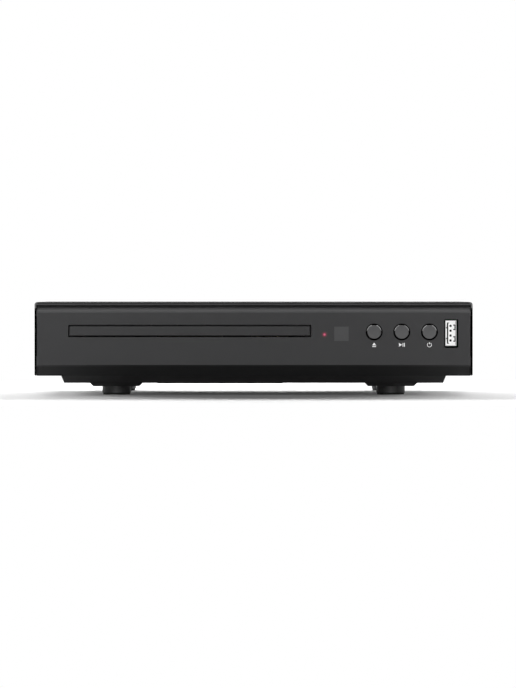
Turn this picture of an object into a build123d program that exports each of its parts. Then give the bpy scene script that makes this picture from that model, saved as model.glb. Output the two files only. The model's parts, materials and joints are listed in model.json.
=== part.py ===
from build123d import *
import os
from math import acos, asin, atan2, cos, degrees, hypot, pi, radians, sin, sqrt, tan

# A compact disc player with a motorised tray, in millimetres.
# +X is to the right as seen from the front, the front faces -Y, and +Z is up from the surface it stands on.
# The origin is under the middle of the whole player, button faces and jack barrels included.
# Depths into the player are measured from the face of the front panel with the function deep().

# Case
WIDTH = 225.0
BODY_DEPTH = 195.0
TOP_Z = 47.8
SHEET = 0.8
COVER_RADIUS = 1.5
COVER_EDGE_ROUND = 0.7
COVER_LIFT = 0.15
HEM = 0.7
HEM_DEPTH = 8.0
SEAT = 0.1
BUTTON_PROUD = 0.5
JACK_REACH = 8.5
FLANGE_DROP = 7.6

# Front panel
PANEL_BOTTOM_Z = 9.9
BEVEL_TOP_Z = 15.5
BEVEL_SETBACK = 4.0
BAND_BOTTOM_Z = 43.9
BAND_TOP_Z = 45.0
BAND_SETBACK = 1.5
LEDGE_SETBACK = 2.6
PANEL_WALL = 2.0
PANEL_DEPTH = 10.0
EDGE_ROUND = 0.8
CORNER_ROUND = 0.6
BAND_ROUND = 3.0
BAND_TOP_ROUND = 0.6
PANEL_RIB = 1.6
PANEL_RIB_COUNT = 5

# Tray opening and door
LOADER_X = -32.8
OPENING_WIDTH = 124.8
OPENING_BOTTOM_Z = 29.75
OPENING_TOP_Z = 36.1
DOOR_GAP = 0.75
DOOR_ROUND = 0.5
OPENING_ROUND = 0.6
DOOR_THICK = 2.2
COLLAR_WALL = 1.2
COLLAR_DEPTH = 6.0

# Controls
BUTTON_XS = (61.9, 76.1, 90.3)
BUTTON_Z = 32.4
BUTTON_HOLE = 8.7
BUTTON_CAP = 7.4
BUTTON_FLANGE = 10.4
BUTTON_TRAVEL = 0.5
LED_X = 36.4
LED_Z = 31.1
LED_DIAMETER = 1.6
WINDOW_X = 45.1
WINDOW_Z = 31.5
WINDOW_SIDE = 7.4
SOCKET_X = 101.3
SOCKET_Z = 31.8
SOCKET_SHELL = (5.8, 13.2)
SOCKET_GAP = 0.5
SOCKET_ROUND = 0.6
SOCKET_DEPTH = 13.0
SOCKET_SHEET = 0.35

# Pan
PAN_FLOOR_Z = 6.1
PAN_HALF_WIDTH = 97.6
PAN_FLARE = 1.5
PAN_FRONT_DEPTH = 12.0
PAN_REAR_MARGIN = 8.0
FOOT_X = 70.8
FRONT_FOOT_DEPTH = 25.0
REAR_FOOT_MARGIN = 21.0
FOOT_DIAMETER = 14.8
FOOT_PAD = 1.0
EMBOSS_Z = 4.4
EMBOSS_SIDE = 23.8
EMBOSS_FLARE = 1.6
BED_DROP = 0.6
BED_XS = (-50.0, 15.0)
SIDE_FLANGE = 10.0
BOSS_DIAMETER = 6.0
SCREW_DIAMETER = 2.6
SCREW_HEAD = 5.2
SCREW_HEAD_HEIGHT = 1.6
SCREW_CLEARANCE = 0.2
SIDE_SCREW_LENGTH = 3.4
REAR_SCREW_LENGTH = 6.0
VENT_PITCH = 6.0
VENT_WIDTH = 2.4
SIDE_VENT_COUNT = 9
FLOOR_VENT_COUNT = 8

# Loader frame
FRAME_FRONT = 11.0
FRAME_REAR_MARGIN = 19.0
FRAME_WALL = 2.2
FRAME_BOTTOM_Z = 13.0
FRAME_TOP_Z = 42.6
DECK_Z = 19.0
DECK_THICK = 2.0
LUG = 9.0
LUG_THICK = 2.5
SLIDE_GAP = 0.3
RUNNER = 3.8
RIB = 1.5
FRAME_WINDOW = 16.0
FRAME_WINDOW_PITCH = 26.0
FRAME_WINDOW_COUNT = 3
FRAME_WINDOW_START = 52.0
FRAME_WINDOW_MARGIN = 4.0
REAR_DECK_Z = 15.0
CHEEK = 3.0

# Tray
TRAY_HALF_WIDTH = 62.0
TRAY_REAR_MARGIN = 8.0
TRAY_TOP_Z = 35.7
TRAY_DECK = 3.2
TRAY_BOTTOM_Z = 30.3
TRAY_RAIL = 2.0
TRAY_TRAVEL = 130.0
DISC_DEPTH = 70.0
DISC_RADIUS = 60.0
SMALL_DISC_RADIUS = 40.0
DISC_PLAY = 0.7
DISC_RECESS = 1.3
SMALL_RECESS = 0.8
SLOT_HALF_WIDTH = 22.0
SLOT_FRONT = 20.0

# Tray drive
RACK_MODULE = 1.0
RACK_X = 50.0
RACK_BACK = 3.0
PINION_TEETH = 18
GEAR_MODULE = 0.8
WHEEL_TEETH = 36
SMALL_PINION_TEETH = 12
PRESSURE_ANGLE = 20.0
BACKLASH = 0.2
ADDENDUM = 0.75
DEDENDUM = 1.1
RACK_OVERRUN = 8.0
TRAY_LIP_REAR = 4.2
GEAR_DEPTH = 28.5
PULLEY_DEPTH = 22.0
MOTOR_X = -20.0
MOTOR_DEPTH = 24.0
PULLEY_GROOVE = 8.0
MOTOR_GROOVE = 2.5
PULLEY_LIP = 1.1
BELT = 1.1
BELT_GAP = 0.1
AXLE_DIAMETER = 3.0
RUNNING = 0.05
GEAR_AIR = 0.4
WHEEL_THICK = 3.0
PULLEY_HEIGHT = 3.0
MOTOR_NECK = 3.0
MOTOR_SHAFT = 1.0
MOTOR_DIAMETER = 20.4
MOTOR_LENGTH = 10.0

# Lifting cam and traverse
CAM_DEPTH = 38.5
CAM_THICK = 4.0
CAM_HALF_LENGTH = 17.0
CAM_X = 0.0
CAM_TRAVEL = 12.0
CAM_BOTTOM_Z = 16.7
CAM_TOP_Z = 30.3
CAM_AIR = 0.3
CAM_PIN_GAP = 0.35
LIFT_ANGLE = 3.5
HINGE_MARGIN = 20.0
HINGE_Z = 25.0
HINGE_PIN = 4.0
LIFT_PIN = 3.0
LIFT_PIN_Z = 27.0
TRAVERSE_HALF_WIDTH = 41.0
TRAVERSE_FRONT = 46.0
TRAVERSE_OVERHANG = 5.0
TRAVERSE_TOP_Z = 29.0
TRAVERSE_PLATE = 2.0
TRAVERSE_SKIRT = 6.0
BAR_FRONT = 79.5
REAR_BAR_SETBACK = 5.5
BAR = 3.5

# Spindle, clamper and pickup
DISC_SEAT_Z = 35.4
TURNTABLE_RADIUS = 14.5
TURNTABLE_THICK = 2.0
HUB_RADIUS = 7.4
HUB_HEIGHT = 2.7
ROTOR_RADIUS = 11.0
DISC_THICK = 1.2
BRIDGE_THICK = 1.5
BRIDGE_WIDTH = 46.0
CLAMPER_RADIUS = 12.5
CLAMPER_FLANGE = 15.8
ROD_DIAMETER = 3.0
ROD_Z = 24.0
ROD_XS = (-24.0, 16.0)
FEED_SCREW_X = 25.0
LENS_START = 24.0
LENS_RADIUS = 2.4
PICKUP_LENGTH = 18.0
PAD_THICK = 0.5
SPINDLE_RADIUS = 1.0
BEARING_RADIUS = 3.0
FEED_MOTOR_RADIUS = 5.2
FEED_MOTOR_LENGTH = 18.0
LENS_Z = 33.2

# Boards and sockets
BOARD = 1.6
BOARD_Z = 14.0
BAY_LEFT_X = 43.0
BAY_RIGHT_X = 108.5
MAIN_BOARD_RIGHT_X = 86.0
MAIN_BOARD_REACH = 90.0
POWER_BOARD_FRONT = 26.0
BOARDS_GAP = 5.0
FRONT_BOARD_DEPTH = 10.2
FRONT_BOARD_Z = (18.5, 43.0)
FRONT_BOARD_XS = (33.5, 109.0)
TRANSFORMER_INSET = 24.0
TRANSFORMER_BACK = 5.0
MAIN_CAPACITOR_INSET = 14.0
MAIN_CAPACITOR_BACK = 34.0
HEAT_SINK_INSET = 28.0
HEAT_SINK_BACK = 14.0
HEAT_SINK_WIDTH = 26.0
HEAT_SINK_HEIGHT = 20.0
HEAT_SINK_SHEET = 1.6
HEAT_SINK_FINS = 3
RIBBON_INSET = 12.0
RIBBON_WIDTH = 16.0
RIBBON_THICK = 0.5
SWITCH_SIDE = 6.0
SWITCH_HEIGHT = 3.4
JACK_PITCH = 12.5
JACK_X = 57.5
JACK_DIAMETER = 8.3
JACK_BORE = 3.4
JACK_BODY_DEPTH = 11.0
HDMI_X = 78.4
HDMI_SIZE = (15.0, 5.6)
HDMI_DEPTH = 11.0
HDMI_PROUD = 0.4
HDMI_GAP = 0.4
HDMI_CANT = 2.2
HDMI_SHEET = 0.35
INLET_X = 98.0
INLET_Z = 27.0
INLET_RADIUS = 6.2
INLET_HALF_PITCH = 4.3
INLET_DEPTH = 12.0
INLET_WALL = 1.4
INLET_PIN = 2.4
JACK_SHEET = 0.4
JACK_WALL = 2.9
JACK_HOLE_GAP = 0.7

# Places worked out from the sizes above
OVERALL_DEPTH = BUTTON_PROUD + BODY_DEPTH + JACK_REACH
FACE_Y = BUTTON_PROUD - OVERALL_DEPTH / 2
REAR_Y = FACE_Y + BODY_DEPTH
INSIDE_X = WIDTH / 2 - SHEET
INSIDE_Z = TOP_Z - SHEET
PAN_TOP_Z = PANEL_BOTTOM_Z + SHEET
TRAY_DECK_Z = TRAY_TOP_Z - TRAY_DECK
DISC_FLOOR_Z = TRAY_TOP_Z - DISC_RECESS
DECK_TOP_Z = DECK_Z + DECK_THICK
FRAME_REAR = BODY_DEPTH - FRAME_REAR_MARGIN
FOOT_DEPTHS = (FRONT_FOOT_DEPTH, BODY_DEPTH - REAR_FOOT_MARGIN)
TRAY_REAR = FRAME_REAR - TRAY_REAR_MARGIN
HINGE_DEPTH = TRAY_REAR - HINGE_MARGIN
TRAVERSE_REAR = HINGE_DEPTH + TRAVERSE_OVERHANG
BAR_REAR = HINGE_DEPTH - REAR_BAR_SETBACK
MAIN_BOARD_FRONT = BODY_DEPTH - MAIN_BOARD_REACH
POWER_BOARD_REAR = MAIN_BOARD_FRONT - BOARDS_GAP
FRAME_INSIDE = TRAY_HALF_WIDTH + SLIDE_GAP
FRAME_HALF_WIDTH = FRAME_INSIDE + FRAME_WALL
GEAR_X = RACK_X - RACK_MODULE * PINION_TEETH / 2
MESH_DISTANCE = GEAR_MODULE * (WHEEL_TEETH + SMALL_PINION_TEETH) / 2
PULLEY_X = GEAR_X - sqrt(MESH_DISTANCE**2 - (GEAR_DEPTH - PULLEY_DEPTH) ** 2)
CLAMP_Z = DISC_SEAT_Z + DISC_THICK + SLIDE_GAP
TURNTABLE_Z = DISC_SEAT_Z - TURNTABLE_THICK
PULLEY_Z = DECK_TOP_Z + GEAR_AIR
WHEEL_Z = PULLEY_Z + PULLEY_HEIGHT + GEAR_AIR


def deep(depth):
    """The Y of a place this far behind the face of the front panel."""
    return FACE_Y + depth


def block(x0, x1, y0, y1, z0, z1):
    """A box between two corners."""
    return Pos((x0 + x1) / 2, (y0 + y1) / 2, (z0 + z1) / 2) * Box(x1 - x0, y1 - y0, z1 - z0)


def post(x, y, z0, z1, radius, bore=0.0):
    """A round post from z0 up to z1, with a bore right through it if one is given."""
    shape = Pos(x, y, (z0 + z1) / 2) * Cylinder(radius, z1 - z0)
    if bore:
        shape -= Pos(x, y, (z0 + z1) / 2) * Cylinder(bore, z1 - z0)
    return shape


def rod(x, y0, y1, z, radius, bore=0.0):
    """A round rod along Y, or a tube if a bore is given."""
    shape = Pos(x, (y0 + y1) / 2, z) * Rot(90, 0, 0) * Cylinder(radius, y1 - y0)
    if bore:
        shape -= Pos(x, (y0 + y1) / 2, z) * Rot(90, 0, 0) * Cylinder(bore, y1 - y0)
    return shape


def cross_pin(x0, x1, y, z, radius):
    """A round pin along X."""
    return Pos((x0 + x1) / 2, y, z) * Rot(0, 90, 0) * Cylinder(radius, x1 - x0)


def profile_along_x(points, x0, x1):
    """A closed outline of (y, z) points carried from x0 to x1."""
    outline = Polyline(*[(x0, y, z) for y, z in points], close=True)
    return extrude(make_face(outline), amount=x1 - x0, dir=(1, 0, 0))


def tapered_block(x, y, z, width, depth, height, flare):
    """A block on a rectangle at z whose four sides lean out by the flare as it rises."""
    lean = -degrees(atan2(flare, height))
    return extrude(Pos(x, y, z) * Rectangle(width, depth), amount=height, taper=lean)


def group(shapes):
    """Separate solids of one kind, kept together as one node."""
    solids = []
    for shape in shapes:
        solids.extend(shape.solids())
    return Compound(children=solids)


def cover_screw_places():
    """Where the cover's screws sit, as (x, y, z, outward axis, length): two at the sides, three behind."""
    side_z, rear_z = PAN_TOP_Z + SIDE_FLANGE / 2, TOP_Z - FLANGE_DROP / 2
    sides = [(side * WIDTH / 2, REAR_Y - 25, side_z, (side, 0, 0), SIDE_SCREW_LENGTH) for side in (-1, 1)]
    rear = [(x, REAR_Y + SHEET, rear_z, (0, 1, 0), REAR_SCREW_LENGTH) for x in (-WIDTH * 0.4, 0, WIDTH * 0.4)]
    return sides + rear


def screw(x, y, z, axis, length=6.0):
    """A pan-head screw whose head bears on the point given and whose shank runs back along the axis."""
    head = Pos(0, 0, SCREW_HEAD_HEIGHT / 2) * Cylinder(SCREW_HEAD / 2, SCREW_HEAD_HEIGHT)
    head = chamfer(head.edges().sort_by(Axis.Z)[-1], SCREW_HEAD_HEIGHT * 0.35)
    shank = Pos(0, 0, -length / 2) * Cylinder(SCREW_DIAMETER / 2, length)
    return Plane(origin=(x, y, z), z_dir=axis) * (head + shank)


def screw_hole(x, y, z, axis, length=6.0):
    """The hole that clears a screw at that place."""
    hole = Cylinder(SCREW_DIAMETER / 2 + SCREW_CLEARANCE, 2 * length + 0.5)
    return Plane(origin=(x, y, z), z_dir=axis) * hole


def side_vents(x0, x1):
    """A row of upright slots through a side, beside the power board."""
    first = deep(BODY_DEPTH * 0.55)
    slots = []
    for i in range(SIDE_VENT_COUNT):
        y = first + i * VENT_PITCH
        slots.append(block(x0, x1, y, y + VENT_WIDTH, TOP_Z * 0.5, TOP_Z * 0.78))
    return slots


def make_top_cover():
    """The folded steel cover: top, two sides, a hemmed front edge and a flange down over the rear panel."""
    front, rear = FACE_Y + SLIDE_GAP, REAR_Y + SHEET
    height = TOP_Z - PANEL_BOTTOM_Z
    outer = block(-WIDTH / 2, WIDTH / 2, front, rear, PANEL_BOTTOM_Z + COVER_LIFT, TOP_Z)
    outer = fillet(outer.edges().filter_by(Axis.Y).group_by(Axis.Z)[0], COVER_EDGE_ROUND)
    outer = fillet(outer.edges().filter_by(Axis.Y).group_by(Axis.Z)[-1], COVER_RADIUS)
    inner = block(-INSIDE_X, INSIDE_X, front - 1, REAR_Y, PANEL_BOTTOM_Z - 1, INSIDE_Z)
    inner = fillet(inner.edges().filter_by(Axis.Y).group_by(Axis.Z)[-1], COVER_RADIUS - SHEET)
    cover = outer - inner
    below_flange = block(-WIDTH, WIDTH, REAR_Y - 1, rear + 1, PANEL_BOTTOM_Z - height, TOP_Z - FLANGE_DROP)
    cover -= below_flange & block(-INSIDE_X, INSIDE_X, REAR_Y - 1, rear + 1, 0, TOP_Z)
    cover += block(-INSIDE_X, INSIDE_X, front, front + HEM_DEPTH, INSIDE_Z - HEM, INSIDE_Z)
    for place in cover_screw_places():
        cover -= screw_hole(*place)
    cover -= side_vents(-WIDTH / 2 - 1, -INSIDE_X + 1)
    cover -= side_vents(INSIDE_X - 1, WIDTH / 2 + 1)
    return cover


def panel_profile(wall):
    """The front panel's section, (y, z), moved in by a wall, with a ledge at its top for the cover's hem."""
    lip_z = INSIDE_Z - HEM - SEAT
    lean = BAND_SETBACK / (BAND_TOP_Z - BAND_BOTTOM_Z)
    cant = BEVEL_SETBACK / (BEVEL_TOP_Z - PANEL_BOTTOM_Z)
    back = PANEL_DEPTH + (1 if wall else 0)
    return [
        (deep(BEVEL_SETBACK + wall * (1 - cant)), PANEL_BOTTOM_Z + wall),
        (deep(wall), BEVEL_TOP_Z + wall * cant * 0.5),
        (deep(wall), BAND_BOTTOM_Z - wall * lean * 0.5),
        (deep(BAND_SETBACK + wall), BAND_TOP_Z - wall),
        (deep(LEDGE_SETBACK + wall), BAND_TOP_Z - wall),
        (deep(LEDGE_SETBACK + wall), lip_z - wall),
        (deep(back), lip_z - wall),
        (deep(back), PANEL_BOTTOM_Z + wall),
    ]


def edges_along_x(shape, y, z):
    """The shape's edges along X whose middle lies at this y and z."""
    return [e for e in shape.edges().filter_by(Axis.X)
            if abs(e.center().Y - y) + abs(e.center().Z - z) < 0.01]


def socket_cut(margin, y0, y1):
    """The upright rectangular space of the front socket, with a margin round its shell."""
    half_w, half_h = SOCKET_SHELL[0] / 2 + margin, SOCKET_SHELL[1] / 2 + margin
    space = block(SOCKET_X - half_w, SOCKET_X + half_w, y0, y1, SOCKET_Z - half_h, SOCKET_Z + half_h)
    return fillet(space.edges().filter_by(Axis.Y), SOCKET_ROUND + margin)


def front_board_screw_places():
    """The three places where the front board is screwed to the panel's bosses."""
    low = FRONT_BOARD_Z[0] + 4
    left, right = FRONT_BOARD_XS
    return [(left + 14, low), (SOCKET_X - 14, low), ((left + right) / 2, FRONT_BOARD_Z[1] - 3)]


def make_front_panel():
    """The moulded front panel: a hollow shell with a canted lower edge, a sloped band and its openings."""
    half = INSIDE_X - SEAT
    shell = profile_along_x(panel_profile(0.0), -half, half)
    shell = fillet(edges_along_x(shell, FACE_Y, BAND_BOTTOM_Z), BAND_ROUND)
    shell = fillet(edges_along_x(shell, deep(BAND_SETBACK), BAND_TOP_Z), BAND_TOP_ROUND)
    ends = [e for e in shell.edges().filter_by(Axis.Z) if abs(e.center().Y - FACE_Y) < 0.01]
    shell = fillet(ends, EDGE_ROUND)
    outline = block(-half, half, FACE_Y - 1, deep(PANEL_DEPTH), PANEL_BOTTOM_Z, INSIDE_Z)
    shell &= fillet(outline.edges().filter_by(Axis.Y).group_by(Axis.Z)[0], CORNER_ROUND)
    shell -= profile_along_x(panel_profile(PANEL_WALL), -half + PANEL_WALL, half - PANEL_WALL)
    x0, x1 = LOADER_X - OPENING_WIDTH / 2, LOADER_X + OPENING_WIDTH / 2
    collar_rear = deep(PANEL_WALL + COLLAR_DEPTH)
    shell += block(x0 - COLLAR_WALL, x1 + COLLAR_WALL, deep(PANEL_WALL), collar_rear,
                   OPENING_BOTTOM_Z - COLLAR_WALL, OPENING_TOP_Z + COLLAR_WALL)
    space = profile_along_x(panel_profile(PANEL_WALL / 2), -half + PANEL_WALL, half - PANEL_WALL)
    for i in range(PANEL_RIB_COUNT):
        x = x0 + i * OPENING_WIDTH / (PANEL_RIB_COUNT - 1)
        rib = block(x - PANEL_RIB / 2, x + PANEL_RIB / 2, FACE_Y, deep(PANEL_WALL + COLLAR_DEPTH / 2),
                    PANEL_BOTTOM_Z, OPENING_BOTTOM_Z - COLLAR_WALL)
        shell += rib & space
    for x, z in front_board_screw_places():
        shell += rod(x, deep(PANEL_WALL), deep(FRONT_BOARD_DEPTH), z, BOSS_DIAMETER / 2)
        shell -= rod(x, deep(PANEL_WALL), deep(FRONT_BOARD_DEPTH + 1), z, SCREW_DIAMETER / 2)
    opening = block(x0, x1, FACE_Y - 1, collar_rear + 1, OPENING_BOTTOM_Z, OPENING_TOP_Z)
    shell -= fillet(opening.edges().filter_by(Axis.Y), OPENING_ROUND)
    front, back = FACE_Y - 1, deep(PANEL_WALL + 1)
    for x in BUTTON_XS:
        shell -= rod(x, front, back, BUTTON_Z, BUTTON_HOLE / 2)
    shell -= rod(LED_X, front, back, LED_Z, LED_DIAMETER / 2)
    window = WINDOW_SIDE / 2
    shell -= block(WINDOW_X - window, WINDOW_X + window, front, back, WINDOW_Z - window, WINDOW_Z + window)
    shell -= socket_cut(SOCKET_GAP, front, back)
    return shell


def foot_places():
    """The centres of the four feet."""
    return [(side * FOOT_X, deep(depth)) for depth in FOOT_DEPTHS for side in (-1, 1)]


def loader_screw_places():
    """The centres of the four lugs that carry the loader."""
    reach = FRAME_HALF_WIDTH + LUG / 2
    return [(LOADER_X + side * reach, deep(depth)) for depth in (FRAME_FRONT + 14, FRAME_REAR - 12)
            for side in (-1, 1)]


def board_screw_places():
    """The centres of the posts under the main board and the power board."""
    inset = 4.0
    main = [(x, y) for x in (BAY_LEFT_X + inset, MAIN_BOARD_RIGHT_X - inset)
            for y in (deep(MAIN_BOARD_FRONT + inset), REAR_Y - 24)]
    power = [(x, y) for x in (BAY_LEFT_X + inset, BAY_RIGHT_X - inset)
             for y in (deep(POWER_BOARD_FRONT + 18), deep(POWER_BOARD_REAR - inset))]
    return main + power


def pan_bowl(shrink, floor_z, top_z):
    """The sunk middle of the pan, whose walls lean out as they rise."""
    y0, y1 = deep(PAN_FRONT_DEPTH) + shrink, REAR_Y - PAN_REAR_MARGIN - shrink
    width = 2 * (PAN_HALF_WIDTH - shrink)
    return tapered_block(0, (y0 + y1) / 2, floor_z, width, y1 - y0, top_z - floor_z, PAN_FLARE)


def make_bottom_chassis():
    """The pressed steel pan: sunk floor, feet pads, vents, board and loader posts and two side flanges."""
    y0, y1 = deep(PANEL_DEPTH) + SEAT, REAR_Y - SHEET - SEAT
    half = INSIDE_X - SEAT
    floor_top = PAN_FLOOR_Z + SHEET
    pan = pan_bowl(0, PAN_FLOOR_Z, PANEL_BOTTOM_Z) + block(-half, half, y0, y1, PANEL_BOTTOM_Z, PAN_TOP_Z)
    bed = block(*BED_XS, deep(BODY_DEPTH * 0.2), deep(BODY_DEPTH * 0.75), PAN_FLOOR_Z - BED_DROP, PAN_FLOOR_Z)
    pan += bed
    for x, y in foot_places():
        pan += tapered_block(x, y, EMBOSS_Z, EMBOSS_SIDE, EMBOSS_SIDE, PAN_FLOOR_Z - EMBOSS_Z, EMBOSS_FLARE)
    pan -= pan_bowl(SHEET, floor_top, PAN_TOP_Z + 0.01)
    pan -= Pos(0, 0, SHEET) * bed
    for x, y in foot_places():
        inner = EMBOSS_SIDE - 2 * SHEET
        pan -= tapered_block(x, y, EMBOSS_Z + SHEET, inner, inner, PAN_FLOOR_Z - EMBOSS_Z, EMBOSS_FLARE)
    for side in (-1, 1):
        outer = side * half
        pan += block(min(outer, outer - side * SHEET), max(outer, outer - side * SHEET), y0 + 2, y1 - 2,
                     PAN_TOP_Z, PAN_TOP_Z + SIDE_FLANGE)
    posts = [(x, y, BOARD_Z) for x, y in board_screw_places()]
    posts += [(x, y, FRAME_BOTTOM_Z) for x, y in loader_screw_places()]
    for x, y, top in posts:
        base = floor_top if abs(x) < PAN_HALF_WIDTH - BOSS_DIAMETER / 2 else PANEL_BOTTOM_Z
        pan += post(x, y, base, top, BOSS_DIAMETER / 2)
        pan -= post(x, y, base - 1, top + 1, SCREW_DIAMETER / 2)
    for x, y in foot_places():
        pan -= post(x, y, 0, PAN_TOP_Z, SCREW_DIAMETER / 2 + SCREW_CLEARANCE)
    for i in range(FLOOR_VENT_COUNT):
        x = (BAY_LEFT_X + BAY_RIGHT_X) / 2 - 20 + i * VENT_PITCH
        for depth in (POWER_BOARD_FRONT + 24, MAIN_BOARD_FRONT + 15):
            pan -= block(x, x + VENT_WIDTH, deep(depth), deep(depth) + 18, PAN_FLOOR_Z - 1, floor_top + 1)
    for place in cover_screw_places()[:2]:
        pan -= screw_hole(*place)
    return pan


def jack_places():
    """The centres of the four round jacks on the rear panel, (x, z), two over two."""
    base = BOARD_Z + BOARD + JACK_PITCH / 2 + 0.5
    return [(JACK_X + side * JACK_PITCH / 2, base + row * JACK_PITCH) for row in (0, 1) for side in (-1, 1)]


def inlet_outline(margin):
    """The figure-of-eight outline of the mains inlet in the plane of the rear panel."""
    radius = INLET_RADIUS + margin
    outline = Rectangle(2 * INLET_HALF_PITCH, 2 * radius)
    for side in (-1, 1):
        outline += Pos(side * INLET_HALF_PITCH, 0) * Circle(radius)
    return outline


def inlet_solid(margin, y0, y1):
    """The inlet's outline carried from y0 to y1."""
    plane = Plane(origin=(INLET_X, y0, INLET_Z), x_dir=(1, 0, 0), z_dir=(0, 1, 0))
    return extrude(plane * inlet_outline(margin), amount=y1 - y0)


def make_rear_panel():
    """The rear sheet, with a foot flange on the pan and cut-outs for its sockets."""
    half = INSIDE_X - SEAT
    y0, y1 = REAR_Y - SHEET, REAR_Y
    panel = block(-half, half, y0, y1, PANEL_BOTTOM_Z, INSIDE_Z - SEAT)
    panel = fillet(panel.edges().filter_by(Axis.Y).group_by(Axis.Z)[-1], COVER_RADIUS)
    foot_y = REAR_Y - PAN_REAR_MARGIN + 1
    panel += block(-half + 4, half - 4, foot_y, y0, PAN_TOP_Z, PAN_TOP_Z + SHEET)
    cut0, cut1 = y0 - 1, y1 + 1
    for x, z in jack_places():
        panel -= rod(x, cut0, cut1, z, JACK_DIAMETER / 2 + JACK_HOLE_GAP)
    width, height = HDMI_SIZE
    base = BOARD_Z + BOARD
    socket = width / 2 + HDMI_GAP
    panel -= block(HDMI_X - socket, HDMI_X + socket, cut0, cut1, base - HDMI_GAP, base + height + HDMI_GAP)
    panel -= inlet_solid(0.2, cut0, cut1)
    for place in cover_screw_places()[2:]:
        panel -= screw_hole(*place)
    return panel


def make_feet():
    """Four moulded feet, hollow underneath round their screws."""
    feet = []
    for x, y in foot_places():
        foot = post(x, y, FOOT_PAD, EMBOSS_Z, FOOT_DIAMETER / 2, SCREW_DIAMETER / 2 + SCREW_CLEARANCE)
        feet.append(foot - post(x, y, FOOT_PAD - 1, FOOT_PAD + SCREW_HEAD_HEIGHT, SCREW_HEAD / 2 + 0.6))
    return group(feet)


def make_foot_pads():
    """Four rubber rings under the feet, which touch the surface."""
    return group([post(x, y, 0, FOOT_PAD, FOOT_DIAMETER / 2 - 0.4, SCREW_HEAD / 2 + 0.6)
                  for x, y in foot_places()])


def make_foot_screws():
    """Four screws up through the feet into the pan."""
    seat = FOOT_PAD + SCREW_HEAD_HEIGHT
    return group([screw(x, y, seat, (0, 0, -1), PAN_FLOOR_Z - seat) for x, y in foot_places()])


def make_cover_screws():
    """Five screws that hold the cover to the pan and the rear panel."""
    return group([screw(*place) for place in cover_screw_places()])


def make_tray_door():
    """The strip that closes the tray opening, flush with the panel, with four clips behind."""
    half = OPENING_WIDTH / 2 - DOOR_GAP
    z0, z1 = OPENING_BOTTOM_Z + DOOR_GAP, OPENING_TOP_Z - DOOR_GAP
    door = block(LOADER_X - half, LOADER_X + half, FACE_Y, deep(DOOR_THICK), z0, z1)
    door = fillet(door.edges().filter_by(Axis.Y), DOOR_ROUND)
    return chamfer(door.faces().sort_by(Axis.Y)[0].edges(), 0.25)


def make_button(index):
    """One round push button: domed cap, a collar that keeps it behind the panel, and a stem to its switch."""
    x = BUTTON_XS[index]
    cap_front = FACE_Y - BUTTON_PROUD
    collar = deep(PANEL_WALL + BUTTON_TRAVEL * 0.2)
    cap = rod(x, cap_front, collar + 1.0, BUTTON_Z, BUTTON_CAP / 2)
    cap = chamfer(cap.edges().sort_by(Axis.Y)[0], 0.5)
    cap += rod(x, collar, collar + 1.0, BUTTON_Z, BUTTON_FLANGE / 2)
    stem_rear = deep(FRONT_BOARD_DEPTH - SWITCH_HEIGHT)
    return cap + rod(x, collar + 1.0, stem_rear, BUTTON_Z, 1.6)


def make_indicator_lens():
    """The small light pipe that carries the indicator's light to the panel."""
    lens = rod(LED_X, FACE_Y, deep(PANEL_WALL), LED_Z, LED_DIAMETER / 2)
    return lens + rod(LED_X, deep(PANEL_WALL), deep(FRONT_BOARD_DEPTH - 4.6), LED_Z, LED_DIAMETER / 2 + 0.7)


def make_ir_window():
    """The square window in front of the remote receiver, with a rim behind the panel."""
    half, rim = WINDOW_SIDE / 2, WINDOW_SIDE / 2 + 0.8
    y0, y1 = FACE_Y + 0.1, deep(PANEL_WALL)
    window = block(WINDOW_X - half, WINDOW_X + half, y0, y1, WINDOW_Z - half, WINDOW_Z + half)
    return window + block(WINDOW_X - rim, WINDOW_X + rim, deep(PANEL_WALL), deep(PANEL_WALL + 0.8),
                          WINDOW_Z - rim, WINDOW_Z + rim)


def make_usb_shell():
    """The folded metal shell of the front socket, with two sprung tabs on each wide side."""
    y0, y1 = FACE_Y + 0.3, FACE_Y + 0.3 + SOCKET_DEPTH
    shell = socket_cut(0, y0, y1) - socket_cut(-SOCKET_SHEET, y0 - 1, y1 - SOCKET_SHEET)
    half_w = SOCKET_SHELL[0] / 2
    for side in (-1, 1):
        for row in (-1, 1):
            z = SOCKET_Z + row * SOCKET_SHELL[1] / 4
            outer = SOCKET_X + side * half_w
            shell -= block(outer - 0.6, outer + 0.6, y0 + 2.0, y0 + 7.0, z - 1.4, z + 1.4)
            tip = outer - side * (SOCKET_SHEET + 0.5)
            low, high = sorted((tip, tip + side * SOCKET_SHEET))
            bend_low, bend_high = sorted((tip, outer))
            shell += block(low, high, y0 + 3.0, y0 + 7.0, z - 1.0, z + 1.0)
            shell += block(bend_low, bend_high, y0 + 6.6, y0 + 7.2, z - 1.0, z + 1.0)
    return shell


def tongue_faces():
    """The tongue's left and right faces and its half height inside the front socket."""
    left = SOCKET_X - SOCKET_SHELL[0] / 2 + SOCKET_SHEET + 0.8
    return left, left + 1.6, SOCKET_SHELL[1] / 2 - SOCKET_SHEET - 0.7


def make_usb_tongue():
    """The plastic tongue that carries the contacts, with its block at the rear of the shell."""
    left, right, half = tongue_faces()
    rear = FACE_Y + 0.3 + SOCKET_DEPTH - SOCKET_SHEET
    tongue = block(left, right, FACE_Y + 1.2, rear, SOCKET_Z - half, SOCKET_Z + half)
    tongue += socket_cut(-SOCKET_SHEET - 0.05, rear - 2.0, rear)
    return tongue


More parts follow.
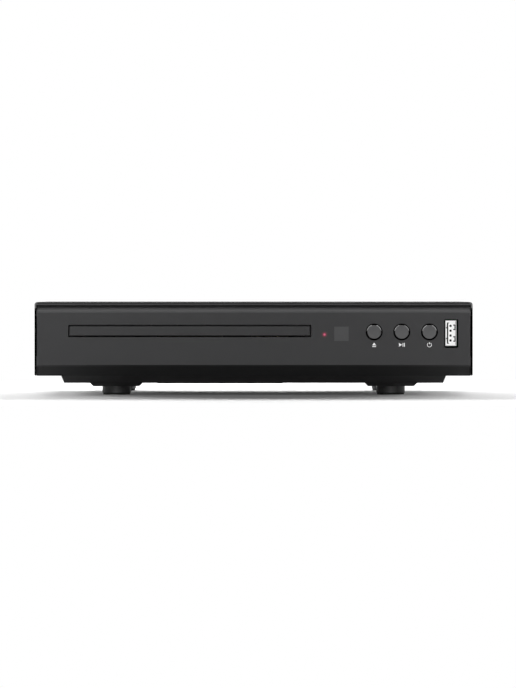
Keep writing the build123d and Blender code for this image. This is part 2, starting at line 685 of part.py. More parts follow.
def make_usb_contacts():
    """Four flat contacts on the inner face of the tongue."""
    right = tongue_faces()[1]
    rear = FACE_Y + SOCKET_DEPTH - SOCKET_SHEET - 1.9
    pitch = 2.5
    return group([block(right, right + 0.25, FACE_Y + 2.0, rear, SOCKET_Z + (i - 1.5) * pitch - 0.5,
                        SOCKET_Z + (i - 1.5) * pitch + 0.5) for i in range(4)])


def make_front_board():
    """The upright circuit board behind the buttons, notched round the front socket's legs."""
    x0, x1 = FRONT_BOARD_XS
    y0, y1 = deep(FRONT_BOARD_DEPTH), deep(FRONT_BOARD_DEPTH + BOARD)
    board = block(x0, x1, y0, y1, *FRONT_BOARD_Z)
    board -= socket_cut(0.3, y0 - 1, y1 + 1)
    for x, z in front_board_screw_places():
        board -= rod(x, y0 - 1, y1 + 1, z, SCREW_DIAMETER / 2 + SCREW_CLEARANCE)
    return board


def make_tact_switches():
    """The three small switches that the buttons press."""
    switches = []
    half = SWITCH_SIDE / 2
    for x in BUTTON_XS:
        rear = deep(FRONT_BOARD_DEPTH)
        body = block(x - half, x + half, rear - SWITCH_HEIGHT + 1.2, rear, BUTTON_Z - half, BUTTON_Z + half)
        switches.append(body)
    return group(switches)


def make_indicator_led():
    """The indicator's own lamp on the front board."""
    rear = deep(FRONT_BOARD_DEPTH)
    lamp = rod(LED_X, rear - 4.2, rear - 1.0, LED_Z, 1.5)
    return lamp + rod(LED_X, rear - 1.0, rear, LED_Z, 1.9)


def make_ir_receiver():
    """The remote receiver behind its window."""
    rear = deep(FRONT_BOARD_DEPTH)
    body = block(WINDOW_X - 3.0, WINDOW_X + 3.0, rear - 4.0, rear, WINDOW_Z - 3.2, WINDOW_Z + 3.2)
    dome = Pos(WINDOW_X, rear - 4.0, WINDOW_Z) * Sphere(2.2)
    front_half = block(WINDOW_X - 3, WINDOW_X + 3, rear - 6.4, rear - 3.9, WINDOW_Z - 3, WINDOW_Z + 3)
    return body + (dome & front_half)


def make_ribbon_cable():
    """The flat cable from the front board down and back to the main board."""
    x0, x1 = BAY_LEFT_X + RIBBON_INSET, BAY_LEFT_X + RIBBON_INSET + RIBBON_WIDTH
    thick = RIBBON_THICK
    front = deep(FRONT_BOARD_DEPTH + BOARD)
    top, low = FRONT_BOARD_Z[0] + 5.0, BOARD_Z - 4.0
    rear = deep(MAIN_BOARD_FRONT + 8)
    path = [(front, top), (front + 4, top), (front + 4, low), (rear, low), (rear, BOARD_Z)]
    inner = [(rear - thick, BOARD_Z), (rear - thick, low + thick), (front + 4 + thick, low + thick),
             (front + 4 + thick, top + thick), (front, top + thick)]
    return profile_along_x(path + inner, x0, x1)


def polar(radius, angle):
    """A point at a radius and an angle in radians."""
    return (radius * cos(angle), radius * sin(angle))


def gear_outline(teeth, module, first):
    """A spur gear's outline: involute flanks as arcs through three points, the first tooth at an angle."""
    pitch_r = module * teeth / 2
    base_r = pitch_r * cos(radians(PRESSURE_ANGLE))
    tip_r, root_r = pitch_r + ADDENDUM * module, pitch_r - DEDENDUM * module
    start_r = max(base_r, root_r + 0.05 * module)
    pressure = radians(PRESSURE_ANGLE)
    pitch_half = pi / (2 * teeth) - BACKLASH / (4 * pitch_r) + tan(pressure) - pressure

    def half_angle(radius):
        """Half the tooth's width, as an angle, at a radius."""
        at = acos(min(1.0, base_r / radius))
        return pitch_half - tan(at) + at

    radii = (start_r, (start_r + tip_r) / 2, tip_r)
    edges = []
    for i in range(teeth):
        centre = first + i * 2 * pi / teeth
        rising = [polar(r, centre - half_angle(r)) for r in radii]
        falling = [polar(r, centre + half_angle(r)) for r in reversed(radii)]
        root_in = polar(root_r, centre - half_angle(start_r))
        root_out = polar(root_r, centre + half_angle(start_r))
        next_root = polar(root_r, centre + 2 * pi / teeth - half_angle(start_r))
        edges += [Line(root_in, rising[0]), ThreePointArc(*rising), Line(rising[2], falling[0])]
        edges += [ThreePointArc(*falling), Line(falling[2], root_out), Line(root_out, next_root)]
    return make_face(edges)


def gear(x, y, z0, z1, teeth, module, first):
    """A toothed disc between two heights."""
    return extrude(Pos(x, y, z0) * gear_outline(teeth, module, first), amount=z1 - z0)


def rack_outline():
    """The tray's rack in plan, its teeth towards -X and a gap facing the pinion."""
    pitch = pi * RACK_MODULE
    slope = tan(radians(PRESSURE_ANGLE))
    pitch_half = pitch / 4 - BACKLASH / 4
    tip_half = pitch_half - ADDENDUM * RACK_MODULE * slope
    root_half = pitch_half + DEDENDUM * RACK_MODULE * slope
    tip_x = LOADER_X + RACK_X - ADDENDUM * RACK_MODULE
    root_x = LOADER_X + RACK_X + DEDENDUM * RACK_MODULE
    before = int((GEAR_DEPTH - TRAY_LIP_REAR - 2) / pitch)
    after = int((TRAY_TRAVEL + RACK_OVERRUN) / pitch)
    points = []
    for k in range(-before, after):
        y = deep(GEAR_DEPTH) + (k + 0.5) * pitch
        points += [(root_x, y - root_half), (tip_x, y - tip_half)]
        points += [(tip_x, y + tip_half), (root_x, y + root_half)]
    back_x = LOADER_X + RACK_X + RACK_BACK
    points += [(back_x, points[-1][1]), (back_x, points[0][1])]
    return make_face(Polyline(*points, close=True))


def make_disc_tray():
    """The disc tray: recesses for both disc sizes, a slot open to the rear, side rails and a rack below."""
    x0, x1 = LOADER_X - TRAY_HALF_WIDTH, LOADER_X + TRAY_HALF_WIDTH
    front, rear = deep(DOOR_THICK), deep(TRAY_REAR)
    tray = block(x0, x1, front, rear, TRAY_DECK_Z, TRAY_TOP_Z)
    tray += block(x0, x1, front, deep(TRAY_LIP_REAR), TRAY_BOTTOM_Z, TRAY_DECK_Z)
    for x in (x0, x1 - TRAY_RAIL):
        tray += block(x, x + TRAY_RAIL, front, rear, TRAY_BOTTOM_Z, TRAY_DECK_Z)
    y = deep(DISC_DEPTH)
    tray -= post(LOADER_X, y, DISC_FLOOR_Z, TRAY_TOP_Z + 1, DISC_RADIUS + DISC_PLAY)
    tray -= post(LOADER_X, y, DISC_FLOOR_Z - SMALL_RECESS, TRAY_TOP_Z + 1, SMALL_DISC_RADIUS + DISC_PLAY)
    slot_front = deep(DISC_DEPTH - SLOT_FRONT)
    tray -= block(LOADER_X - SLOT_HALF_WIDTH, LOADER_X + SLOT_HALF_WIDTH, slot_front, rear + 1, 0, TOP_Z)
    tray += extrude(Pos(0, 0, TRAY_BOTTOM_Z) * rack_outline(), amount=TRAY_DECK_Z - TRAY_BOTTOM_Z)
    return tray


def wall_pair(inner, outer, y0, y1, z0, z1):
    """The same block on the left and the right of the loader's middle."""
    return (block(LOADER_X - outer, LOADER_X - inner, y0, y1, z0, z1)
            + block(LOADER_X + inner, LOADER_X + outer, y0, y1, z0, z1))


def cross_plate(depth0, depth1, z0, z1):
    """A plate right across the inside of the loader frame."""
    return block(LOADER_X - FRAME_HALF_WIDTH, LOADER_X + FRAME_HALF_WIDTH, deep(depth0), deep(depth1), z0, z1)


def bridge_post_places():
    """The two posts beside the frame's walls that carry the clamp bridge."""
    reach = FRAME_HALF_WIDTH + 2.0
    return [(LOADER_X + side * reach, deep(DISC_DEPTH)) for side in (-1, 1)]


def make_loader_frame():
    """The moulded frame: side walls with runners, two decks, a cam trough and hinge cheeks."""
    y0, y1 = deep(FRAME_FRONT), deep(FRAME_REAR)
    frame = wall_pair(FRAME_INSIDE, FRAME_HALF_WIDTH, y0, y1, FRAME_BOTTOM_Z, FRAME_TOP_Z)
    runner_top = TRAY_BOTTOM_Z - SLIDE_GAP
    frame += wall_pair(FRAME_INSIDE - RUNNER, FRAME_HALF_WIDTH, y0, y1, runner_top - 1.4, runner_top)
    for depth in (FRAME_FRONT + 3, FRAME_FRONT + 19, FRAME_REAR - 16):
        tab_z = TRAY_TOP_Z + SLIDE_GAP
        front, rear = deep(depth), deep(depth + 6)
        frame += wall_pair(FRAME_INSIDE - 1.6, FRAME_HALF_WIDTH, front, rear, tab_z, tab_z + 1.4)
    frame += cross_plate(FRAME_FRONT, CAM_DEPTH - CAM_AIR, DECK_Z, DECK_TOP_Z)
    trough0, trough1 = CAM_DEPTH - CAM_AIR, CAM_DEPTH + CAM_THICK + CAM_AIR
    trough_z = CAM_BOTTOM_Z - CAM_AIR
    frame += cross_plate(trough0 - RIB, trough1 + RIB, trough_z - RIB, trough_z)
    frame += cross_plate(trough0 - RIB, trough0, trough_z, DECK_TOP_Z)
    frame += cross_plate(trough1, trough1 + RIB, trough_z, DECK_Z)
    frame += cross_plate(HINGE_DEPTH - 8, FRAME_REAR, REAR_DECK_Z, REAR_DECK_Z + DECK_THICK)
    frame += cross_plate(FRAME_REAR - DECK_THICK, FRAME_REAR, REAR_DECK_Z, runner_top)
    cheek = TRAVERSE_HALF_WIDTH + 1.2
    hinge_y = deep(HINGE_DEPTH)
    frame += wall_pair(cheek, cheek + CHEEK, hinge_y - 5, hinge_y + 5, REAR_DECK_Z, HINGE_Z + 3.6)
    frame -= cross_pin(LOADER_X - cheek - 9, LOADER_X + cheek + 9, hinge_y, HINGE_Z, HINGE_PIN / 2 + RUNNING)
    for x, y in loader_screw_places():
        inner = x - LUG / 2 if x > LOADER_X else x + LUG / 2
        low, high = sorted((inner, 2 * x - inner))
        frame += block(low, high, y - LUG / 2, y + LUG / 2, FRAME_BOTTOM_Z, FRAME_BOTTOM_Z + LUG_THICK)
        low, high = FRAME_BOTTOM_Z - 1, FRAME_BOTTOM_Z + LUG_THICK + 1
        frame -= post(x, y, low, high, SCREW_DIAMETER / 2 + SCREW_CLEARANCE)
    for x, y in bridge_post_places():
        frame += post(x, y, FRAME_TOP_Z - 9, FRAME_TOP_Z, 2.8)
        frame -= post(x, y, FRAME_TOP_Z - 7, FRAME_TOP_Z + 1, SCREW_DIAMETER / 2)
    for i in range(FRAME_WINDOW_COUNT):
        depth = FRAME_FRONT + FRAME_WINDOW_START + i * FRAME_WINDOW_PITCH
        frame -= wall_pair(FRAME_INSIDE - RUNNER - 1, FRAME_HALF_WIDTH + 1, deep(depth), deep(depth + FRAME_WINDOW),
                           FRAME_BOTTOM_Z + FRAME_WINDOW_MARGIN, runner_top - FRAME_WINDOW_MARGIN)
    axle_top = TRAY_DECK_Z - 0.5
    frame += post(LOADER_X + GEAR_X, deep(GEAR_DEPTH), DECK_Z, axle_top, AXLE_DIAMETER / 2)
    pulley_top = WHEEL_Z + WHEEL_THICK + 1
    frame += post(LOADER_X + PULLEY_X, deep(PULLEY_DEPTH), DECK_Z, pulley_top, AXLE_DIAMETER / 2)
    neck = MOTOR_NECK + SCREW_CLEARANCE
    frame -= post(LOADER_X + MOTOR_X, deep(MOTOR_DEPTH), DECK_Z - 1, DECK_TOP_Z + 1, neck)
    return frame


def make_clamp_bridge():
    """The pressed bridge over the tray that carries the clamper, with a hole and two stiffening edges."""
    y = deep(DISC_DEPTH)
    half = BRIDGE_WIDTH / 2
    reach = FRAME_HALF_WIDTH + 5.0
    top = FRAME_TOP_Z + BRIDGE_THICK
    bridge = block(LOADER_X - reach, LOADER_X + reach, y - half, y + half, FRAME_TOP_Z, top)
    for edge in (y - half, y + half - 1.0):
        bridge += block(LOADER_X - reach + 12, LOADER_X + reach - 12, edge, edge + 1.0, top, top + 1.6)
    bridge -= post(LOADER_X, y, FRAME_TOP_Z - 1, top + 1, CLAMPER_RADIUS + 0.8)
    for x, py in bridge_post_places():
        bridge -= post(x, py, FRAME_TOP_Z - 1, top + 1, SCREW_DIAMETER / 2 + SCREW_CLEARANCE)
    return bridge


def make_clamper():
    """The puck that presses the disc on its seat: a flange over the bridge and a hollow foot."""
    y = deep(DISC_DEPTH)
    flange_z = FRAME_TOP_Z + BRIDGE_THICK + SLIDE_GAP
    puck = post(LOADER_X, y, CLAMP_Z, flange_z, CLAMPER_RADIUS)
    puck += post(LOADER_X, y, flange_z, flange_z + 1.0, CLAMPER_FLANGE)
    puck -= post(LOADER_X, y, CLAMP_Z - 1, DISC_SEAT_Z + HUB_HEIGHT + 1.2, HUB_RADIUS + 1.0)
    return puck


def make_loader_screws():
    """Four screws that hold the loader to the pan and two that hold the bridge to the frame."""
    lugs = [screw(x, y, FRAME_BOTTOM_Z + LUG_THICK, (0, 0, 1), 4.5) for x, y in loader_screw_places()]
    bridge = [screw(x, y, FRAME_TOP_Z + BRIDGE_THICK, (0, 0, 1)) for x, y in bridge_post_places()]
    return group(lugs + bridge)


def make_load_motor():
    """The small motor that drives the tray, hung under the deck with its neck through it."""
    x, y = LOADER_X + MOTOR_X, deep(MOTOR_DEPTH)
    can = post(x, y, DECK_Z - MOTOR_LENGTH, DECK_Z, MOTOR_DIAMETER / 2)
    can = fillet(can.edges().sort_by(Axis.Z)[0], 1.0)
    can += post(x, y, DECK_Z, DECK_TOP_Z + 0.1, MOTOR_NECK)
    return can - post(x, y, DECK_Z - MOTOR_LENGTH + 2, DECK_TOP_Z + 1, MOTOR_SHAFT + RUNNING)


def grooved_pulley(x, y, groove):
    """A pulley with a square groove for the belt."""
    z0, z1 = PULLEY_Z, PULLEY_Z + PULLEY_HEIGHT
    rim = post(x, y, z0, z1, groove + PULLEY_LIP)
    middle = (z0 + z1) / 2
    half = BELT / 2 + BELT_GAP
    return rim - post(x, y, middle - half, middle + half, groove + PULLEY_LIP + 1, groove)


def make_motor_pulley():
    """The motor's shaft with its pulley."""
    x, y = LOADER_X + MOTOR_X, deep(MOTOR_DEPTH)
    shaft = post(x, y, DECK_Z - MOTOR_LENGTH + 2.2, PULLEY_Z + PULLEY_HEIGHT + 0.6, MOTOR_SHAFT)
    return grooved_pulley(x, y, MOTOR_GROOVE) + shaft


def make_drive_belt():
    """The rubber belt round both pulleys."""
    centre_a = (LOADER_X + MOTOR_X, deep(MOTOR_DEPTH))
    centre_b = (LOADER_X + PULLEY_X, deep(PULLEY_DEPTH))
    dx, dy = centre_b[0] - centre_a[0], centre_b[1] - centre_a[1]
    heading = atan2(dy, dx)
    lean = asin((PULLEY_GROOVE - MOTOR_GROOVE) / hypot(dx, dy))

    def loop(extra):
        """The belt's outline at a distance outside the grooves."""
        corners = []
        for (cx, cy), groove in ((centre_a, MOTOR_GROOVE), (centre_b, PULLEY_GROOVE)):
            sides = [polar(groove + extra, heading + side * (pi / 2 + lean)) for side in (1, -1)]
            corners.append([(cx + px, cy + py) for px, py in sides])
        outline = make_face(Polyline(corners[0][0], corners[0][1], corners[1][1], corners[1][0], close=True))
        outline += Pos(*centre_a) * Circle(MOTOR_GROOVE + extra)
        return outline + Pos(*centre_b) * Circle(PULLEY_GROOVE + extra)

    middle = PULLEY_Z + PULLEY_HEIGHT / 2
    ring = loop(BELT_GAP + BELT) - loop(BELT_GAP)
    return extrude(Pos(0, 0, middle - BELT / 2) * ring, amount=BELT)


def mesh_angle():
    """The direction from the tray gear's axle to the pulley gear's axle, in radians."""
    return atan2(PULLEY_DEPTH - GEAR_DEPTH, PULLEY_X - GEAR_X)


def make_pulley_gear():
    """The large pulley with the small pinion on top of it."""
    x, y = LOADER_X + PULLEY_X, deep(PULLEY_DEPTH)
    top = PULLEY_Z + PULLEY_HEIGHT
    shape = grooved_pulley(x, y, PULLEY_GROOVE)
    first = mesh_angle() + pi + pi / SMALL_PINION_TEETH
    shape += gear(x, y, top, WHEEL_Z + WHEEL_THICK + 0.2, SMALL_PINION_TEETH, GEAR_MODULE, first)
    return shape - post(x, y, PULLEY_Z - 1, TOP_Z, AXLE_DIAMETER / 2 + RUNNING)


def make_tray_gear():
    """The wheel that the small pinion turns, with the pinion on top of it that drives the tray's rack."""
    x, y = LOADER_X + GEAR_X, deep(GEAR_DEPTH)
    shape = gear(x, y, WHEEL_Z, WHEEL_Z + WHEEL_THICK, WHEEL_TEETH, GEAR_MODULE, mesh_angle())
    shape += post(x, y, PULLEY_Z, WHEEL_Z, 4.0)
    shape += gear(x, y, WHEEL_Z + WHEEL_THICK, TRAY_DECK_Z - SLIDE_GAP, PINION_TEETH, RACK_MODULE, 0)
    return shape - post(x, y, PULLEY_Z - 1, TOP_Z, AXLE_DIAMETER / 2 + RUNNING)


def lift_drop():
    """How far the lifting pin comes down over the whole lift angle."""
    return (HINGE_DEPTH - CAM_DEPTH - CAM_THICK / 2) * sin(radians(LIFT_ANGLE))


def make_cam_slider():
    """The slider that lifts the traverse: its sloping slot carries the traverse's front pin."""
    x, y = LOADER_X + CAM_X, deep(CAM_DEPTH)
    slider = block(x - CAM_HALF_LENGTH, x + CAM_HALF_LENGTH, y, y + CAM_THICK, CAM_BOTTOM_Z, CAM_TOP_Z)
    slope = degrees(atan2(lift_drop(), CAM_TRAVEL))
    radius = LIFT_PIN / 2 + CAM_PIN_GAP
    middle = Plane(origin=(x, y - 1, LIFT_PIN_Z - lift_drop() / 2), x_dir=(1, 0, 0), z_dir=(0, 1, 0))
    run = hypot(CAM_TRAVEL, lift_drop()) + CAM_PIN_GAP
    slot = extrude(middle * Rot(0, 0, -slope) * SlotCenterToCenter(run, 2 * radius), amount=CAM_THICK + 2)
    return slider - slot


def end_bar(depth):
    """One of the two bars under the traverse plate that hold the guide rods and the feed screw."""
    reach = FEED_SCREW_X + 5.5
    return block(LOADER_X - reach, LOADER_X + reach, deep(depth), deep(depth + BAR), ROD_Z - 3.5,
                 TRAVERSE_TOP_Z - TRAVERSE_PLATE / 2)


def make_traverse_frame():
    """The frame of spindle and pickup: a skirted plate, hinged at the rear and lifted by a front pin."""
    half = TRAVERSE_HALF_WIDTH
    y0, y1 = deep(TRAVERSE_FRONT), deep(TRAVERSE_REAR)
    plate_z = TRAVERSE_TOP_Z - TRAVERSE_PLATE
    frame = block(LOADER_X - half, LOADER_X + half, y0, y1, TRAVERSE_TOP_Z - TRAVERSE_SKIRT, TRAVERSE_TOP_Z)
    corners = frame.edges().filter_by(Axis.Z)
    frame = fillet(corners, 4.0)
    frame -= block(LOADER_X - half + RIB, LOADER_X + half - RIB, y0 + RIB, y1 - RIB, 0, plate_z)
    opening = FEED_SCREW_X + 5.5
    frame += end_bar(BAR_FRONT) + end_bar(BAR_REAR)
    frame -= block(LOADER_X - opening, LOADER_X + opening, deep(BAR_FRONT + BAR), deep(BAR_REAR), 0, TOP_Z)
    reach = half + 1.2 + CHEEK
    hinge_y = deep(HINGE_DEPTH)
    for low, high in ((-reach, -half + RIB), (half - RIB, reach)):
        frame += cross_pin(LOADER_X + low, LOADER_X + high, hinge_y, HINGE_Z, HINGE_PIN / 2)
    pin_x = LOADER_X + CAM_X + CAM_TRAVEL / 2
    frame += rod(pin_x, deep(CAM_DEPTH + 0.1), y0 + RIB, LIFT_PIN_Z, LIFT_PIN / 2)
    frame -= post(LOADER_X, deep(DISC_DEPTH), 0, TOP_Z, BEARING_RADIUS + 0.1)
    motor = FEED_MOTOR_RADIUS + 0.2
    frame -= block(LOADER_X + FEED_SCREW_X - motor, LOADER_X + FEED_SCREW_X + motor,
                   deep(BAR_FRONT - FEED_MOTOR_LENGTH - 0.2), deep(BAR_FRONT), 0, TOP_Z)
    for x in (*ROD_XS, FEED_SCREW_X):
        y0, y1 = deep(BAR_FRONT - 1), deep(BAR_REAR + BAR - 0.8)
        frame -= rod(LOADER_X + x, y0, y1, ROD_Z, ROD_DIAMETER / 2 + RUNNING)
    return frame


def make_spindle_motor():
    """The spindle motor's base plate and bearing tube."""
    x, y = LOADER_X, deep(DISC_DEPTH)
    base = post(x, y, TRAVERSE_TOP_Z, TRAVERSE_TOP_Z + 0.8, ROTOR_RADIUS + 1.0)
    tube = post(x, y, ROD_Z, TRAVERSE_TOP_Z + 2.4, BEARING_RADIUS)
    core = post(x, y, TRAVERSE_TOP_Z + 0.8, TRAVERSE_TOP_Z + 2.6, ROTOR_RADIUS - 2.4)
    return base + tube + core - post(x, y, ROD_Z + 0.8, TOP_Z, SPINDLE_RADIUS + RUNNING)


def make_spindle_rotor():
    """The rotor: an inverted cup on the spindle shaft."""
    x, y = LOADER_X, deep(DISC_DEPTH)
    z0, z1 = TRAVERSE_TOP_Z + 1.2, TURNTABLE_Z
    cup = post(x, y, z0, z1, ROTOR_RADIUS) - post(x, y, z0 - 1, z1 - 1.0, ROTOR_RADIUS - 1.0)
    return cup + post(x, y, ROD_Z + 1.0, z1, SPINDLE_RADIUS)


def make_turntable():
    """The turntable: a flange for the disc and a coned hub that centres it."""
    x, y = LOADER_X, deep(DISC_DEPTH)
    plate = post(x, y, TURNTABLE_Z, DISC_SEAT_Z - PAD_THICK, TURNTABLE_RADIUS)
    hub = post(x, y, DISC_SEAT_Z - PAD_THICK, DISC_SEAT_Z + HUB_HEIGHT, HUB_RADIUS)
    hub = chamfer(hub.edges().sort_by(Axis.Z)[-1], 1.2)
    return plate + hub - post(x, y, DISC_SEAT_Z, TOP_Z, HUB_RADIUS - 3.4)


def make_turntable_pad():
    """The rubber ring that the disc rests on."""
    return post(LOADER_X, deep(DISC_DEPTH), DISC_SEAT_Z - PAD_THICK, DISC_SEAT_Z, TURNTABLE_RADIUS - 0.3,
                TURNTABLE_RADIUS - 4.0)


def make_guide_rods():
    """The two polished rods that the pickup slides on."""
    return group([rod(LOADER_X + x, deep(BAR_FRONT + 0.4), deep(BAR_REAR + BAR - 1.0), ROD_Z, ROD_DIAMETER / 2)
                  for x in ROD_XS])


def make_feed_screw():
    """The feed screw, which enters the feed motor at its front end."""
    x = LOADER_X + FEED_SCREW_X
    return rod(x, deep(BAR_FRONT - 4.0), deep(BAR_REAR + BAR - 1.0), ROD_Z, ROD_DIAMETER / 2)


def make_feed_motor():
    """The feed motor, a small can against the front bar."""
    x = LOADER_X + FEED_SCREW_X
    y0, y1 = deep(BAR_FRONT - FEED_MOTOR_LENGTH), deep(BAR_FRONT)
    can = rod(x, y0, y1, ROD_Z, FEED_MOTOR_RADIUS)
    can = fillet(can.edges().sort_by(Axis.Y)[0], 0.8)
    return can - rod(x, y1 - 4.4, y1 + 1, ROD_Z, ROD_DIAMETER / 2 + RUNNING)


def make_pickup_body():
    """The pickup's die-cast carriage: two rod bearings, a nut on the feed screw and a raised lens stage."""
    y = deep(DISC_DEPTH + LENS_START)
    half = PICKUP_LENGTH / 2
    left, right = LOADER_X + ROD_XS[0], LOADER_X + ROD_XS[1]
    screw_x = LOADER_X + FEED_SCREW_X
    body = block(left, right, y - half + 2, y + half - 2, ROD_Z - 2.5, TRAVERSE_TOP_Z - 0.5)
    body += rod(left, y - half, y + half, ROD_Z, ROD_DIAMETER / 2 + 1.6)
    body += rod(right, y - half, y + 3, ROD_Z, ROD_DIAMETER / 2 + 1.6)
    body += block(right, screw_x, y - 2.5, y + 2.5, ROD_Z - 1.2, ROD_Z + 1.2)
    body += rod(screw_x, y - 2.5, y + 2.5, ROD_Z, ROD_DIAMETER / 2 + 1.4)
    body += block(LOADER_X - 9, LOADER_X + 9, y - half + 3, y + half - 3, ROD_Z, LENS_Z - 1.2)
    for x in (left, right, screw_x):
        body -= rod(x, y - half - 1, y + half + 1, ROD_Z, ROD_DIAMETER / 2 + RUNNING)
    body -= block(LOADER_X - 7, LOADER_X + 7, y - half + 4.5, y + half - 4.5, LENS_Z - 3.0, TOP_Z)
    return body + block(LOADER_X - 4, LOADER_X + 4, y - 4, y + 4, LENS_Z - 3.0, LENS_Z - 1.0)


def make_pickup_lens():
    """The pickup's lens."""
    y = deep(DISC_DEPTH + LENS_START)
    lens = post(LOADER_X, y, LENS_Z - 1.0, LENS_Z - 0.5, LENS_RADIUS)
    ball = Pos(LOADER_X, y, LENS_Z - 0.5 - 4.0) * Sphere(hypot(4.0, LENS_RADIUS - 0.3))
    return lens + (ball & post(LOADER_X, y, LENS_Z - 0.6, LENS_Z + 2, LENS_RADIUS - 0.3))


def board_screw_holes(board, places):
    """A board with the holes for its screws."""
    for x, y in places:
        board -= post(x, y, BOARD_Z - 1, BOARD_Z + BOARD + 1, SCREW_DIAMETER / 2 + SCREW_CLEARANCE)
    return board


def make_main_board():
    """The main board under the rear sockets."""
    y0, y1 = deep(MAIN_BOARD_FRONT), REAR_Y - SHEET - 1.0
    board = block(BAY_LEFT_X, MAIN_BOARD_RIGHT_X, y0, y1, BOARD_Z, BOARD_Z + BOARD)
    return board_screw_holes(board, board_screw_places()[:4])


def make_power_board():
    """The power supply's board."""
    y0, y1 = deep(POWER_BOARD_FRONT), deep(POWER_BOARD_REAR)
    board = block(BAY_LEFT_X, BAY_RIGHT_X, y0, y1, BOARD_Z, BOARD_Z + BOARD)
    return board_screw_holes(board, board_screw_places()[4:])


def make_board_screws():
    """The screws of all three boards."""
    top = BOARD_Z + BOARD
    flat = [screw(x, y, top, (0, 0, 1)) for x, y in board_screw_places()]
    rear = deep(FRONT_BOARD_DEPTH + BOARD)
    upright = [screw(x, rear, z, (0, 1, 0), 5.5) for x, z in front_board_screw_places()]
    return group(flat + upright)


def on_board(x, depth, width, length, height):
    """A square-cornered part standing on the boards' upper face."""
    y, z = deep(depth), BOARD_Z + BOARD
    return block(x - width / 2, x + width / 2, y - length / 2, y + length / 2, z, z + height)


def make_board_parts():
    """The chips, plugs and the fuse holder on the two flat boards."""
    middle = (BAY_LEFT_X + MAIN_BOARD_RIGHT_X) / 2
    chips = [
        on_board(middle, MAIN_BOARD_FRONT + 36, 20, 20, 1.4),
        on_board(middle - 14, MAIN_BOARD_FRONT + 36, 7, 14, 1.1),
        on_board(middle + 15, MAIN_BOARD_FRONT + 36, 5, 7, 1.6),
        on_board(middle, MAIN_BOARD_FRONT + 14, 22, 5, 5.5),
        on_board(BAY_LEFT_X + 4, MAIN_BOARD_FRONT + 30, 4.5, 14, 4.0),
        on_board(BAY_LEFT_X + 16, POWER_BOARD_REAR - 8, 12, 5, 6.0),
        on_board(BAY_RIGHT_X - 14, POWER_BOARD_REAR - 7, 9, 8, 8.0),
        on_board(BAY_RIGHT_X - 25, POWER_BOARD_REAR - 14, 6, 21, 8.0),
    ]
    return group(chips)


def make_transformer():
    """The switching transformer: a wound bobbin in a ferrite core."""
    x = BAY_LEFT_X + TRANSFORMER_INSET
    depth = (POWER_BOARD_FRONT + POWER_BOARD_REAR) / 2 + TRANSFORMER_BACK
    bobbin = on_board(x, depth, 18, 22, 3.0)
    winding = on_board(x, depth, 15, 14, 13.0)
    core = on_board(x, depth, 22, 9, 15.0)
    return bobbin + winding + core


def make_capacitors():
    """The can capacitors of both boards."""
    z = BOARD_Z + BOARD
    cans = [(BAY_RIGHT_X - MAIN_CAPACITOR_INSET, POWER_BOARD_FRONT + MAIN_CAPACITOR_BACK, 7.5, 21.0)]
    cans += [(BAY_LEFT_X + inset, POWER_BOARD_FRONT + 10, 4.0, 12.0) for inset in (12, 22)]
    cans.append((MAIN_BOARD_RIGHT_X - 6, MAIN_BOARD_FRONT + 50, 2.5, 7.0))
    cans.append((BAY_LEFT_X + 12, MAIN_BOARD_FRONT + 52, 2.5, 7.0))
    shapes = []
    for x, depth, radius, height in cans:
        can = post(x, deep(depth), z, z + height, radius)
        shapes.append(chamfer(can.edges().sort_by(Axis.Z)[-1], 0.5))
    return group(shapes)


def make_heat_sink():
    """The upright aluminium heat sink with three fins."""
    x, depth = BAY_RIGHT_X - HEAT_SINK_INSET, POWER_BOARD_FRONT + HEAT_SINK_BACK
    sink = on_board(x, depth, HEAT_SINK_WIDTH, HEAT_SINK_SHEET, HEAT_SINK_HEIGHT)
    pitch = HEAT_SINK_WIDTH / (HEAT_SINK_FINS - 0.4)
    for i in range(HEAT_SINK_FINS):
        fin_x = x + (i - (HEAT_SINK_FINS - 1) / 2) * pitch
        sink += on_board(fin_x, depth - 2.0 - HEAT_SINK_SHEET / 2, HEAT_SINK_SHEET, 4.0, HEAT_SINK_HEIGHT)
    return sink


def make_jack_housing():
    """The black block of the four round jacks, on the main board behind the rear panel."""
    y1 = REAR_Y - SHEET
    y0 = y1 - JACK_BODY_DEPTH
    half = JACK_PITCH
    base = BOARD_Z + BOARD
    housing = block(JACK_X - half, JACK_X + half, y0, y1, base, base + 2 * JACK_PITCH + 1.0)
    for x, z in jack_places():
        housing -= rod(x, y0 - 1, y1 + 1, z, JACK_BORE / 2 + JACK_WALL)
    return housing


def make_jack_barrels():
    """The four metal barrels, which reach out of the rear panel."""
    y0 = REAR_Y - SHEET - JACK_BODY_DEPTH + 1.5
    barrels = []
    for x, z in jack_places():
        barrel = rod(x, y0, REAR_Y - SHEET, z, JACK_BORE / 2 + JACK_WALL, JACK_DIAMETER / 2 - JACK_SHEET)
        outer = JACK_DIAMETER / 2
        barrel += rod(x, REAR_Y - SHEET, REAR_Y + JACK_REACH, z, outer, outer - JACK_SHEET)
        barrels.append(barrel)
    return group(barrels)


def make_jack_insert(index):
    """One jack's coloured plastic insert with its centre bore."""
    x, z = jack_places()[index]
    y0 = REAR_Y - SHEET - JACK_BODY_DEPTH + 1.5
    return rod(x, y0, REAR_Y + JACK_REACH - 0.6, z, JACK_DIAMETER / 2 - JACK_SHEET, JACK_BORE / 2)


